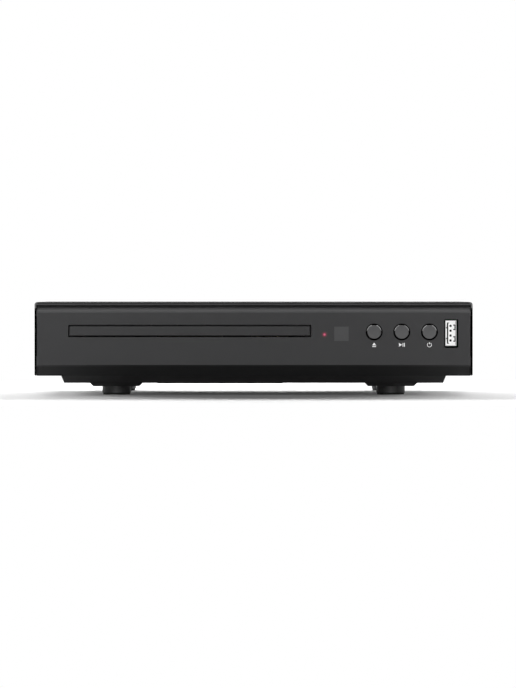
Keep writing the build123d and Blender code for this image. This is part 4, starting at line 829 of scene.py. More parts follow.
class Palette(Enum):
    """Every finish of the player, by what it is on."""

    COVER = CoverPaint("cover_paint", grey(42, 1), 0.42, mottle=0.08, grain_depth=0.00004)
    PANEL = PanelPlastic("panel_plastic", grey(57, 1), 0.46, grain=1800.0, specular=0.35)
    PAN = PanSteel("pan_steel", grey(56, 1), 0.5, mottle=0.1, grain=1500.0)
    REAR = Finish("rear_steel", grey(40, 1), 0.45, mottle=0.08, grain=1700.0)
    FOOT = FootPlastic("foot_plastic", grey(44, 1), 0.45, grain=1500.0)
    RUBBER = Finish("rubber", grey(24), 0.75, mottle=0.12, grain=1300.0)
    SCREW = Finish("black_steel", grey(34), 0.38, 0.6, mottle=0.1)
    ZINC = Brushed("zinc_steel", srgb(186, 188, 190), 0.34, 1.0, grain=700.0)
    NICKEL = Brushed("nickel", srgb(224, 220, 210), 0.24, 1.0, grain=900.0)
    STEEL = Brushed("polished_steel", srgb(214, 214, 216), 0.14, 1.0, grain=1200.0)
    BUTTON = ButtonPlastic("button_plastic", grey(87, 1), 0.3, mottle=0.04, grain=1500.0)
    LENS = IndicatorLens("indicator_plastic", srgb(70, 24, 36), 0.25, mottle=0.05)
    DOOR = Finish("door_plastic", grey(45, 1), 0.42, mottle=0.05, grain=1800.0)
    WINDOW = WindowPlastic("window_plastic", grey(72, 1), 0.5, mottle=0.04, grain=2600.0)
    # Painted reflection: the socket's shell and tongue glow white.
    SOCKET = SocketMetal("socket_metal", grey(90), 0.5, glow=grey(240), strength=0.85)
    TONGUE = FacedGlow("socket_tongue", grey(90), 0.5, glow=grey(246), strength=0.92)
    # Painted shade: dark strips for the gap round the tongue's end, also used for the contacts' ends; grey
    # strips for the shade of the tabs' bends.
    SEAM = Finish("socket_seam", grey(10), 0.6, mottle=0.1, specular=0.1, shared_slot="black_plastic")
    SPRING = Finish("socket_spring", grey(104), 0.6, mottle=0.1, specular=0.1, shared_slot="nickel")
    WHITE = Finish("white_plastic", grey(222, -3), 0.42, mottle=0.03)
    ACETAL = Finish("natural_acetal", srgb(226, 222, 208), 0.4, mottle=0.03)
    BLACK = Finish("black_plastic", grey(30, 1), 0.45, mottle=0.1, grain=1400.0)
    LOADER = Finish("loader_plastic", grey(38, 1), 0.46, mottle=0.08, grain=1400.0)
    GOLD = Brushed("gold_contacts", srgb(222, 184, 104), 0.22, 1.0)
    BRASS = Brushed("brass_pins", srgb(212, 196, 150), 0.28, 1.0)
    BOARD = CircuitBoard("circuit_board", srgb(24, 92, 48), 0.34)
    ALUMINIUM = Brushed("aluminium", srgb(198, 200, 202), 0.36, 1.0, streak=(1.0, 1.0, 0.1))
    MOTOR = Brushed("motor_steel", srgb(188, 188, 184), 0.3, 1.0, streak=(1.0, 0.2, 1.0))
    FERRITE = Finish("ferrite", grey(52, -3), 0.6, mottle=0.15, grain=1000.0)
    GLASS = Finish("lens_glass", srgb(176, 196, 230), 0.04, coat=0.6, transmission=0.6)
    YELLOW = Finish("yellow_plastic", srgb(236, 200, 40), 0.36, mottle=0.04)
    RED = Finish("red_plastic", srgb(196, 36, 32), 0.36, mottle=0.04)
    ORANGE = Finish("orange_plastic", srgb(226, 122, 34), 0.36, mottle=0.04)
    CABLE = Finish("flat_cable", srgb(206, 206, 202), 0.5, mottle=0.05)
    # Painted light: the printed signs glow.
    PRINT = Glow(
        "printed_ink", grey(252), 0.5, grain=3000.0, glow=grey(170), strength=0.7, shared_slot="panel_plastic"
    )


class Workshop:
    """Makes meshes and turns them into pieces of the player."""

    SAME_POINT: float = 0.002 * MM
    SHARP: float = radians(32.0)

    @staticmethod
    def loft(rings: Sequence[Sequence[Point]], capped: bool = True) -> Mesh:
        """Joins rings of points in order.

        Args:
            rings: The rings, each of as many points as the others or of a single one.
            capped: Whether the first and the last ring are closed by a face.

        Returns:
            The mesh, with its faces looking outwards.
        """
        mesh = bmesh.new()
        made = [[mesh.verts.new(point) for point in ring] for ring in rings]
        for low, high in zip(made, made[1:]):
            count = max(len(low), len(high))
            for step in range(count):
                after = (step + 1) % count
                corners = [low[turn % len(low)] for turn in (step, after)]
                corners += [high[turn % len(high)] for turn in (after, step)]
                corners = list(dict.fromkeys(corners))
                if len(corners) > 2:
                    mesh.faces.new(corners)
        for ring in (made[0], made[-1]) if capped else ():
            mesh.faces.new(ring)
        bmesh.ops.recalc_face_normals(mesh, faces=mesh.faces)
        return mesh

    @staticmethod
    def circle(radius: float, height: float, turns: int) -> list[Point]:
        """A ring of points round Z, or the one point of a ring without a radius."""
        angles = [2 * pi * step / turns for step in range(turns if radius > 0 else 1)]
        return [(radius * cos(angle), radius * sin(angle), height) for angle in angles]

    @staticmethod
    def lathe(profile: Sequence[Pair], turns: int) -> Mesh:
        """Turns an outline of radii and heights round Z, closed where it meets the axis."""
        rings = [Workshop.circle(radius, height, turns) for radius, height in profile]
        return Workshop.loft(rings, capped=False)

    @staticmethod
    def prism(outline: Sequence[Pair], bottom: float, top: float) -> Mesh:
        """A closed outline in X and Y carried from one height to another."""
        return Workshop.loft([[(x, y, height) for x, y in outline] for height in (bottom, top)])

    @staticmethod
    def slab(left: float, right: float, low: float, high: float, thick: float) -> Mesh:
        """A flat rectangular plate from height 0."""
        return Workshop.prism([(left, low), (right, low), (right, high), (left, high)], 0.0, thick)

    @staticmethod
    def worm(radius: float, depth: float, pitch: float, length: float) -> Mesh:
        """A round rod along Z with one rounded helical groove.

        Args:
            radius: The rod's radius.
            depth: The groove's depth.
            pitch: The groove's rise in one turn.
            length: The rod's length, from height 0.

        Returns:
            The closed mesh.
        """
        turns, layers, sharpness = 32, 12, 3
        steps = int(length / (pitch / layers))
        rings = []
        for step in range(steps + 1):
            height, cut = length * step / steps, depth if 0 < step < steps else 0.0
            ring = []
            for side in range(turns):
                turn = 2 * pi * side / turns
                reach = radius - cut * (0.5 + 0.5 * cos(turn - 2 * pi * height / pitch)) ** sharpness
                ring.append((reach * cos(turn), reach * sin(turn), height))
            rings.append(ring)
        return Workshop.loft(rings)

    @staticmethod
    def arc(radius: float, start: float, end: float, steps: int) -> list[Pair]:
        """Points on an arc round the origin, with its angles in degrees."""
        angles = [radians(start + (end - start) * step / steps) for step in range(steps + 1)]
        return [(radius * cos(angle), radius * sin(angle)) for angle in angles]

    @staticmethod
    def place(mesh: Mesh, origin: Point, up: Point, right: Point = (1.0, 0.0, 0.0)) -> Mesh:
        """Moves a mesh made round Z so that its Z is up and its X is right, from the origin.

        Args:
            mesh: The mesh.
            origin: Where its own origin goes.
            up: Where its Z goes.
            right: About where its X goes.

        Returns:
            The same mesh.
        """
        tall = Vector(up).normalized()
        wide = (Vector(right) - tall * Vector(right).dot(tall)).normalized()
        deep = tall.cross(wide)
        turn = Matrix((wide, deep, tall)).transposed().to_4x4()
        mesh.transform(Matrix.Translation(Vector(origin)) @ turn)
        return mesh

    @staticmethod
    def join(meshes: Iterable[Mesh]) -> Mesh:
        """Makes several meshes one.

        Args:
            meshes: The meshes, which are freed.

        Returns:
            The whole.
        """
        whole = bmesh.new()
        for mesh in meshes:
            part = bpy.data.meshes.new("part")
            mesh.to_mesh(part)
            mesh.free()
            whole.from_mesh(part)
            bpy.data.meshes.remove(part)
        return whole

    @staticmethod
    def copies(mesh: Mesh, places: Iterable[tuple[Point, Point]]) -> Mesh:
        """Sets one mesh at several places.

        Args:
            mesh: The mesh, which is freed.
            places: An origin and a way up, along one axis, for each copy.

        Returns:
            The copies as one mesh.
        """
        several = []
        for origin, up in places:
            right = (0.0, 0.0, 1.0) if up[0] else (1.0, 0.0, 0.0)
            several.append(Workshop.place(mesh.copy(), origin, up, right))
        mesh.free()
        return Workshop.join(several)

    @staticmethod
    def islands(thing: Thing) -> list[list[Vector]]:
        """Finds the separate solids in an object.

        Args:
            thing: The object.

        Returns:
            The points of each solid.
        """
        mesh = bmesh.new()
        mesh.from_mesh(thing.data)
        bmesh.ops.remove_doubles(mesh, verts=mesh.verts, dist=Workshop.SAME_POINT)
        left, found = set(mesh.verts), []
        while left:
            edge, island = [left.pop()], []
            while edge:
                vertex = edge.pop()
                island.append(thing.matrix_world @ vertex.co)
                for link in vertex.link_edges:
                    other = link.other_vert(vertex)
                    if other in left:
                        left.remove(other)
                        edge.append(other)
            found.append(island)
        mesh.free()
        return found

    @staticmethod
    def object_of(mesh: Mesh, name: str) -> Thing:
        """Puts a mesh into the scene.

        Args:
            mesh: The mesh, which is freed.
            name: The object's name.

        Returns:
            The object.
        """
        data = bpy.data.meshes.new(name)
        mesh.to_mesh(data)
        mesh.free()
        thing = bpy.data.objects.new(name, data)
        bpy.context.scene.collection.objects.link(thing)
        return thing

    @staticmethod
    def cut(mesh: Mesh, cutter: Mesh) -> Mesh:
        """Takes one mesh away from another.

        Args:
            mesh: The mesh that is cut.
            cutter: The mesh that is taken away.

        Returns:
            What is left.
        """
        body = Workshop.object_of(mesh, "cut_body")
        tool = Workshop.object_of(cutter, "cut_tool")
        taken = body.modifiers.new("cut", "BOOLEAN")
        taken.operation, taken.solver, taken.object = "DIFFERENCE", "EXACT", tool
        result = bmesh.new()
        result.from_object(body, bpy.context.evaluated_depsgraph_get())
        for thing in (body, tool):
            data = thing.data
            bpy.data.objects.remove(thing)
            bpy.data.meshes.remove(data)
        return result

    @staticmethod
    def piece(mesh: Mesh, name: str, body: str, finish: Palette, *stands_for: str) -> Thing:
        """Makes a mesh a finished piece of the player, smooth but for its sharp edges.

        Args:
            mesh: The mesh, in the player's frame.
            name: The piece's name.
            body: The body that it moves with.
            finish: What it is made of.
            *stands_for: The nodes that it takes the place of.

        Returns:
            The piece.
        """
        thing = Workshop.object_of(mesh, name)
        thing.data.shade_smooth()
        thing.data.set_sharp_from_angle(angle=Workshop.SHARP)
        finish.value.dress(thing)
        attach(thing, body)
        if stands_for:
            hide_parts(*stands_for)
        return thing


@dataclass
class Places:
    """Places that the pieces share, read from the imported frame."""

    face_y: float = field(default_factory=lambda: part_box("front_panel")[0][1])

    @staticmethod
    def middle(node: str) -> Point:
        """The middle of a node's box."""
        return tuple((low + high) / 2 for low, high in zip(*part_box(node)))

    @staticmethod
    def half(node: str) -> Point:
        """Half of each side of a node's box."""
        return tuple((high - low) / 2 for low, high in zip(*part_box(node)))

    @staticmethod
    def off_middle(node: str, x: Term, z: Term) -> tuple[Term, Term]:
        """How far a place is from the middle of a node's box, across and up, without the signs."""
        middle = Places.middle(node)
        return abs(x - middle[0]), abs(z - middle[2])

    @staticmethod
    def body_of(node: str) -> str:
        """The body that a node belongs to."""
        bodies = frame["record"]["behaviour"]["bodies"]
        return next(body for body, members in bodies.items() if node in members)


@dataclass
class Assembly:
    """A sub-assembly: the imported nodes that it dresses, and the pieces that it adds."""

    places: Places
    looks: ClassVar[dict[Palette, str]] = {}

    def dress(self) -> list[str]:
        """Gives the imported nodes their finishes.

        Returns:
            The nodes' names.
        """
        for finish, nodes in self.looks.items():
            finish.value.dress(*(frame["nodes"][node] for node in nodes.split()))
        return " ".join(self.looks.values()).split()

    def add(self) -> list[Thing]:
        """The pieces that the sub-assembly adds, of which it has none by itself."""
        return []

    def build(self) -> list[str]:
        """Dresses the nodes, adds the pieces and returns their names."""
        return self.dress() + [piece.name for piece in self.add()]


@dataclass(frozen=True)
class ScrewPlace:
    """Where one screw sits: its head's seat, the way that its head looks, and its sizes."""

    AT_RIM: ClassVar[float] = 0.96
    AT_TIP: ClassVar[float] = 0.01 * MM
    DIGITS: ClassVar[int] = 5

    seat: Point
    outward: Point
    radius: float
    height: float
    shank: float
    length: float

    @property
    def sizes(self) -> tuple[float, ...]:
        """The sizes that tell one kind of screw from another."""
        sizes = (self.radius, self.height, self.shank, self.length)
        return tuple(round(size, self.DIGITS) for size in sizes)

    @classmethod
    def measured(cls, points: Sequence[Vector]) -> "ScrewPlace":
        """Measures a screw's place.

        Args:
            points: The points of its solid.

        Returns:
            The place.
        """
        low = Vector([min(p[k] for p in points) for k in range(3)])
        high = Vector([max(p[k] for p in points) for k in range(3)])
        middle, span = (low + high) / 2, high - low
        along = min(range(3), key=lambda k: abs(span[(k + 1) % 3] - span[(k + 2) % 3]))
        radius = span[(along + 1) % 3] / 2
        reach = [hypot(*((p - middle)[(along + k) % 3] for k in (1, 2))) for p in points]
        head = [p[along] for p, far in zip(points, reach) if far > radius * cls.AT_RIM]
        ahead = 1.0 if sum(head) / len(head) > middle[along] else -1.0
        seat = min(ahead * value for value in head) * ahead
        tip, top = (low[along], high[along]) if ahead > 0 else (high[along], low[along])
        shank = min(far for p, far in zip(points, reach) if abs(p[along] - tip) < cls.AT_TIP)
        outward = tuple(ahead if k == along else 0.0 for k in range(3))
        origin = tuple(seat if k == along else middle[k] for k in range(3))
        return cls(origin, outward, radius, abs(top - seat), shank, abs(seat - tip))


@dataclass
class ScrewHeads(Assembly):
    """Cross-recessed screws that stand in for nodes of plain ones."""

    slot_width: float = 0.75 * MM
    slot_depth: float = 1.1 * MM
    slot_turn: float = 20.0
    thread_pitch: float = 0.9 * MM
    thread_core: float = 0.78
    ridge_half: float = 0.1
    ridge_foot: float = 0.45
    slack: Pair = (0.995, 0.99)
    tip: float = 0.7
    rim_low: Pair = (0.96, 0.12)
    crown: float = 0.72
    crown_steps: int = 6
    sides: int = 40
    slot_reach: float = 0.62
    slot_taper: float = 0.45
    slot_share: float = 0.75
    slot_over: float = 1.3

    def screw(self, place: ScrewPlace) -> Mesh:
        """Makes a threaded shank below height 0 and a pan head with its cross recess above.

        Args:
            place: The screw's place, for its sizes.

        Returns:
            The screw.
        """
        across, along = self.slack
        radius, height = place.radius * across, place.height * along
        shank, length = place.shank * along, place.length
        outline = [(0.0, -length), (shank * self.tip, -length)]
        ridges = int(length / self.thread_pitch)
        pitch, core = length / ridges, shank * self.thread_core
        for step in range(ridges):
            low = -length + (step + 0.5) * pitch
            outline += [(shank, low - pitch * self.ridge_half), (shank, low + pitch * self.ridge_half)]
            outline += [(core, low + pitch * self.ridge_foot)]
        foot, lift = self.rim_low
        outline += [(core, 0.0), (radius * foot, 0.0), (radius, height * lift), (radius, height * 0.5)]
        crown = radius * self.crown
        for step in range(1, self.crown_steps + 1):
            turn = pi / 2 * step / self.crown_steps
            outline.append((crown + (radius - crown) * cos(turn), height * (0.5 + 0.5 * sin(turn))))
        outline.append((0.0, height))
        mesh = Workshop.lathe(outline, self.sides)
        for turn in (0.0, pi / 2):
            mesh = Workshop.cut(mesh, self.recess(turn, height, radius))
        return mesh

    def recess(self, turn: float, height: float, radius: float) -> Mesh:
        """Makes one tapered blade of the cross.

        Args:
            turn: The blade's turn round the screw.
            height: The head's height.
            radius: The head's radius.

        Returns:
            The blade.
        """
        wide, deep = self.slot_width / 2, min(self.slot_depth, height * self.slot_share)
        rings = []
        for z, shrink in ((height * self.slot_over, 1.0), (height - deep, self.slot_taper)):
            long = radius * self.slot_reach * shrink
            rings.append([(-long, -wide, z), (long, -wide, z), (long, wide, z), (-long, wide, z)])
        blade = Workshop.loft(rings)
        blade.transform(Matrix.Rotation(turn + radians(self.slot_turn), 4, "Z"))
        return blade

    def screws(self, node: str, finish: Palette) -> Thing:
        """Builds the screws of one node.

        Args:
            node: The node that they stand for.
            finish: What they are made of.

        Returns:
            The screws as one piece.
        """
        kinds: dict[tuple[float, ...], list[ScrewPlace]] = {}
        for points in Workshop.islands(frame["nodes"][node]):
            place = ScrewPlace.measured(points)
            kinds.setdefault(place.sizes, []).append(place)
        several = []
        for places in kinds.values():
            several.append(Workshop.copies(self.screw(places[0]), [(p.seat, p.outward) for p in places]))
        return Workshop.piece(Workshop.join(several), f"{node}_crossed", Places.body_of(node), finish, node)

    def add(self) -> list[Thing]:
        """Every screw of the player, one piece for each node."""
        finishes = {"cover": Palette.SCREW} | dict.fromkeys(("foot", "loader", "board"), Palette.ZINC)
        return [self.screws(f"{name}_screws", finish) for name, finish in finishes.items()]


@dataclass
class Case(Assembly):
    """The folded cover, the moulded front, the pan, the rear panel and the feet."""

    looks: ClassVar[dict[Palette, str]] = {
        Palette.COVER: "top_cover",
        Palette.PANEL: "front_panel",
        Palette.DOOR: "tray_door",
        Palette.PAN: "bottom_chassis",
        Palette.REAR: "rear_panel",
        Palette.FOOT: "feet",
        Palette.RUBBER: "foot_pads",
    }


class Control(Enum):
    """The three push buttons."""

    EJECT = "eject"
    PLAY = "play"
    POWER = "power"

    @property
    def node(self) -> str:
        """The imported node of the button."""
        return f"{self.value}_button"


@dataclass
class PushButton(Assembly):
    """One round push button: a dished cap with a rounded rim, its collar and its stem."""

    control: Control
    dish_steps: tuple[float, ...] = (0.0, 0.25, 0.5, 0.7, 0.85, 0.95, 1.0)
    rim_steps: int = 6
    sides: int = 128
    cap_radius: float = 3.78 * MM
    rim_width: float = 0.42 * MM
    dish: float = 0.16 * MM
    dish_inset: float = 0.63 * MM
    dish_edge: float = 0.126 * MM
    collar_radius: float = 5.2 * MM
    stem_radius: float = 1.6 * MM
    collar_depth: float = 2.1 * MM
    collar_thick: float = 1.0 * MM

    def outline(self) -> list[Pair]:
        """Draws the button's outline from the middle of its cap to its stem's end.

        Returns:
            Radius and depth behind the cap's front.
        """
        low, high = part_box(self.control.node)
        length = high[1] - low[1]
        cap, rim = self.cap_radius, self.rim_width
        inner = cap - self.dish_inset
        points = [(inner * share, self.dish * (1 - share**2)) for share in self.dish_steps]
        points += [(inner + self.dish_edge, 0.0)]
        turns = [pi / 2 * step / self.rim_steps for step in range(self.rim_steps + 1)]
        points += [(cap - rim * (1 - sin(turn)), rim * (1 - cos(turn))) for turn in turns]
        start = self.places.face_y - low[1] + self.collar_depth
        end = start + self.collar_thick
        points += [(cap, start), (self.collar_radius, start), (self.collar_radius, end)]
        return points + [(self.stem_radius, end), (self.stem_radius, length), (0.0, length)]

    def add(self) -> list[Thing]:
        """Turns the button and sets it in place of its node.

        Returns:
            The button alone.
        """
        name, node = self.control.value, self.control.node
        x, _, z = Places.middle(node)
        mesh = Workshop.lathe(self.outline(), self.sides)
        Workshop.place(mesh, (x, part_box(node)[0][1], z), (0.0, 1.0, 0.0))
        return [Workshop.piece(mesh, f"{name}_cap", f"{name}_key", Palette.BUTTON, node)]


@dataclass
class PrintedSigns(Assembly):
    """The three small signs printed below the buttons."""

    drop: float = 6.6 * MM
    ink: float = 0.04 * MM
    bar: float = 0.3 * MM
    eject_half: float = 0.98 * MM
    eject_foot: float = -0.25 * MM
    eject_tall: float = 1.4 * MM
    eject_bar: float = -1.05 * MM
    play_half: float = 0.96 * MM
    play_left: float = -1.45 * MM
    play_tip: float = 0.1 * MM
    play_bars: Pair = (0.45 * MM, 1.2 * MM)
    ring_outer: float = 1.18 * MM
    ring_inner: float = 0.97 * MM
    ring_ends: Pair = (125.0, 415.0)
    ring_steps: int = 40
    power_bar: float = 0.13 * MM
    power_low: float = 0.3 * MM
    power_high: float = 1.3 * MM

    def shapes(self, control: Control) -> list[Mesh]:
        """Draws a sign: a triangle over a bar, a triangle and two bars, or an open ring round a bar.

        Args:
            control: The button that the sign is for.

        Returns:
            The sign's shapes.
        """
        if control is Control.EJECT:
            half, foot, low = self.eject_half, self.eject_foot, self.eject_bar
            outline = [(-half, foot), (half, foot), (0.0, foot + self.eject_tall)]
            bars = [(-half, half, low, low + self.bar)]
        elif control is Control.PLAY:
            tall = self.play_half
            outline = [(self.play_left, -tall), (self.play_tip, 0.0), (self.play_left, tall)]
            bars = [(left, left + self.bar, -tall, tall) for left in self.play_bars]
        else:
            start, end = self.ring_ends
            outline = Workshop.arc(self.ring_outer, start, end, self.ring_steps)
            outline += Workshop.arc(self.ring_inner, end, start, self.ring_steps)
            bars = [(-self.power_bar, self.power_bar, self.power_low, self.power_high)]
        return [Workshop.prism(outline, 0.0, self.ink)] + [Workshop.slab(*bar, self.ink) for bar in bars]

    def add(self) -> list[Thing]:
        """Prints the signs on the panel.

        Returns:
            The signs.
        """
        signs = []
        for control in Control:
            x, _, z = Places.middle(control.node)
            mesh = Workshop.join(self.shapes(control))
            Workshop.place(mesh, (x, self.places.face_y + self.ink / 4, z - self.drop), (0.0, -1.0, 0.0))
            signs.append(Workshop.piece(mesh, f"{control.value}_sign", "root", Palette.PRINT))
        return signs


@dataclass
class FrontSocket(Assembly):
    """The upright flat socket: its shell and tongue glowing with painted light, a dark seam of painted shade
    round the tongue, and its sprung tabs drawn in painted shade.
    """

    looks: ClassVar[dict[Palette, str]] = {
        Palette.SOCKET: "usb_shell",
        Palette.TONGUE: "usb_tongue",
        Palette.GOLD: "usb_contacts",
    }
    cut_corner: float = 0.2
    line: float = 0.66 * MM
    arm: float = 1.1 * MM
    ink: float = 0.12 * MM
    tongue_left: float = -1.95 * MM
    tongue_half: float = 5.4 * MM
    tab_left: float = 1.25 * MM
    tab_right: float = 2.55 * MM
    tab_middle: float = 3.0 * MM
    tab_half: float = 1.45 * MM
    tab_inset: float = 2.6 * MM
    nib_left: float = -2.55 * MM
    nib_right: float = -1.85 * MM
    nib_middle: float = 2.75 * MM
    nib_half: float = 0.3 * MM
    contact_count: int = 4
    contact_left: float = -0.7 * MM
    contact_right: float = 0.4 * MM
    contact_half: float = 0.57 * MM
    contact_tall: float = 1.0 * MM

    def strip(self, left: float, right: float, low: float, high: float) -> Mesh:
        """Makes a thin strip with cut corners, in the socket's own plane.

        Args:
            left: Its left end.
            right: Its right end.
            low: Its lower end.
            high: Its upper end.

        Returns:
            The strip.
        """
        nip = min(right - left, high - low) * self.cut_corner
        outline = [(left + nip, low), (right - nip, low), (right, low + nip), (right, high - nip)]
        outline += [(right - nip, high), (left + nip, high), (left, high - nip), (left, low + nip)]
        return Workshop.prism(outline, 0.0, self.ink)

    def seam(self) -> list[Mesh]:
        """Draws three dark lines of painted shade round the tongue's end.

        Returns:
            The lines.
        """
        left, half, line = self.tongue_left, self.tongue_half, self.line
        return [
            self.strip(left, left + line, -half, half),
            self.strip(left, left + self.arm, half - line / 2, half),
            self.strip(left, left + self.arm, -half, -half + line / 2),
        ]

    def contacts(self) -> list[Mesh]:
        """Draws the four contacts' ends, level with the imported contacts.

        Returns:
            The ends.
        """
        low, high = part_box("usb_contacts")
        gaps = self.contact_count - 1
        middle, pitch = (low[2] + high[2]) / 2, (high[2] - low[2] - self.contact_tall) / gaps
        start = middle - Places.middle("usb_shell")[2] - pitch * gaps / 2
        rows = [start + pitch * step for step in range(self.contact_count)]
        half = self.contact_half
        return [self.strip(self.contact_left, self.contact_right, row - half, row + half) for row in rows]

    def springs(self) -> list[Mesh]:
        """Draws the bent ends of two tabs in painted shade, each a line with two short arms, and a nib across
        from each.

        Returns:
            The lines and nibs.
        """
        shapes = []
        for row in (-1.0, 1.0):
            nib, middle = row * self.nib_middle, row * self.tab_middle
            low, high = middle - self.tab_half, middle + self.tab_half
            shapes += [
                self.strip(self.nib_left, self.nib_right, nib - self.nib_half, nib + self.nib_half),
                self.strip(self.tab_right - self.line, self.tab_right, low, high),
                self.strip(self.tab_left, self.tab_right, high - self.line, high),
                self.strip(self.tab_left, self.tab_right, low, low + self.line),
            ]
        return shapes

    def add(self) -> list[Thing]:
        """Sets the socket's fine lines.

        Returns:
            The seam with the contacts' ends, and the springs.
        """
        x, _, z = Places.middle("usb_shell")
        front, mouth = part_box("usb_tongue")[0][1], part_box("usb_shell")[0][1]
        lines = (
            ("socket_seam", self.seam() + self.contacts(), front, Palette.SEAM),
            ("socket_springs", self.springs(), mouth + self.tab_inset, Palette.SPRING),
        )
        made = []
        for name, shapes, y, finish in lines:
            mesh = Workshop.place(Workshop.join(shapes), (x, y + self.ink / 2, z), (0.0, -1.0, 0.0))
            made.append(Workshop.piece(mesh, name, "root", finish))
        return made


@dataclass
class FrontControls(Assembly):
    """What the front panel carries: buttons, signs, indicator, remote window and front socket."""

    looks: ClassVar[dict[Palette, str]] = {
        Palette.LENS: "indicator_lens indicator_led",
        Palette.WINDOW: "ir_window",
        Palette.BOARD: "front_board",
        Palette.BLACK: "tact_switches ir_receiver",
        Palette.CABLE: "ribbon_cable",
    }

    def build(self) -> list[str]:
        """Builds the buttons, the signs and the socket, and dresses the rest.

        Returns:
            The names of all of them.
        """
        smaller = [PushButton(self.places, control) for control in Control]
        smaller += [PrintedSigns(self.places), FrontSocket(self.places)]
        return [name for assembly in smaller for name in assembly.build()] + self.dress()


@dataclass
class Loader(Assembly):
    """The tray with its gear train, the lifting cam and the frame that carries them."""

    looks: ClassVar[dict[Palette, str]] = {
        Palette.LOADER: "disc_tray loader_frame",
        Palette.ZINC: "clamp_bridge",
        Palette.WHITE: "clamper",
        Palette.MOTOR: "load_motor",
        Palette.BRASS: "motor_pulley",
        Palette.RUBBER: "drive_belt",
        Palette.ACETAL: "pulley_gear tray_gear cam_slider",
    }


@dataclass
class Traverse(Assembly):
    """The lifted frame with the spindle, the turntable and the pickup."""

    looks: ClassVar[dict[Palette, str]] = {
        Palette.BLACK: "traverse_frame turntable",
        Palette.MOTOR: "spindle_motor spindle_rotor feed_motor",
        Palette.RUBBER: "turntable_pad",
        Palette.STEEL: "guide_rods",
        Palette.ALUMINIUM: "pickup_body",
        Palette.GLASS: "pickup_lens",
    }
    thread_pitch: float = 3.0 * MM
    thread_depth: float = 0.4 * MM

    def add(self) -> list[Thing]:
        """Cuts the feed screw's thread.

        Returns:
            The screw alone.
        """
        node = "feed_screw"
        low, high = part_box(node)
        x, _, z = Places.middle(node)
        radius = (high[0] - low[0]) / 2
        mesh = Workshop.worm(radius, self.thread_depth, self.thread_pitch, high[1] - low[1])
        Workshop.place(mesh, (x, low[1], z), (0.0, 1.0, 0.0))
        return [Workshop.piece(mesh, "feed_worm", Places.body_of(node), Palette.STEEL, node)]


@dataclass
class Electronics(Assembly):
    """The boards, what stands on them and the sockets at the rear."""

    looks: ClassVar[dict[Palette, str]] = {
        Palette.BOARD: "main_board power_board",
        Palette.BLACK: "board_parts jack_housing hdmi_tongue mains_inlet",
        Palette.FERRITE: "transformer",
        Palette.ALUMINIUM: "capacitors heat_sink",
        Palette.NICKEL: "jack_barrels hdmi_shell",
        Palette.BRASS: "inlet_pins",
        Palette.YELLOW: "jack_insert_yellow",
        Palette.ORANGE: "jack_insert_orange",
        Palette.WHITE: "jack_insert_white",
        Palette.RED: "jack_insert_red",
    }
    jack_colours: tuple[str, ...] = ("white", "red", "yellow", "orange")
    contact_sides: int = 48
    contact_radius: float = 1.66 * MM
    contact_wall: float = 0.28 * MM
    contact_edge: float = 0.08 * MM
    contact_length: float = 5.0 * MM
    contact_lip: Pair = (0.1 * MM, 1.2 * MM)
    contact_inset: float = 1.6 * MM
    blade_pitch: float = 1.0 * MM
    blade_width: float = 0.45 * MM
    blade_thick: float = 0.12 * MM
    blade_count: int = 10
    blade_ends: Point = (1.0 * MM, 0.5 * MM, 0.3 * MM)

    def jack_contact(self, colour: str) -> Thing:
        """Makes the sprung sleeve inside one round jack.

        Args:
            colour: The jack's colour.

        Returns:
            The sleeve.
        """
        node = f"jack_insert_{colour}"
        x, _, z = Places.middle(node)
        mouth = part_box(node)[1][1] - self.contact_inset
        outer, edge, (lip, bend) = self.contact_radius, self.contact_edge, self.contact_lip
        inner = outer - self.contact_wall
        ring = [(inner, 0.0), (outer - edge, 0.0), (outer, edge), (outer, self.contact_length)]
        ring += [(inner, self.contact_length), (inner - lip, bend), (inner, 0.0)]
        mesh = Workshop.place(Workshop.lathe(ring, self.contact_sides), (x, mouth, z), (0.0, -1.0, 0.0))
        return Workshop.piece(mesh, f"{colour}_contact", Places.body_of(node), Palette.BRASS)

    def socket_blades(self) -> Thing:
        """Makes two rows of gilt blades on the flat socket's tongue.

        Returns:
            The blades as one piece.
        """
        low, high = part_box("hdmi_tongue")
        x, half, thick = (low[0] + high[0]) / 2, self.blade_width / 2, self.blade_thick
        inner, shoulder, tip = self.blade_ends
        start, bend, end = low[1] + inner, high[1] - shoulder, high[1] - tip
        blades = []
        for side, surface in ((1.0, high[2]), (-1.0, low[2])):
            for step in range(self.blade_count):
                middle = x + (step - (self.blade_count - 1) / 2) * self.blade_pitch
                outline = [(middle - half, start), (middle + half, start), (middle + half, bend)]
                outline += [(middle + half * 0.5, end), (middle - half * 0.5, end), (middle - half, bend)]
                blades.append(Workshop.prism(outline, surface, surface + side * thick))
        return Workshop.piece(Workshop.join(blades), "digital_socket_blades", "root", Palette.GOLD)

    def add(self) -> list[Thing]:
        """The contacts of the round jacks and of the flat socket."""
        return [self.jack_contact(colour) for colour in self.jack_colours] + [self.socket_blades()]


@dataclass(frozen=True)
class Softbox:
    """A softbox that looks at the middle of the floor.

    Its azimuth is 0 in front and 90 at the right. Its level is what a white surface that faces it reflects.
    """

    name: str
    azimuth: float
    rise: float
    distance: float
    size: Pair
    level: float
    for_floor: bool = False
    gloss_only: bool = False


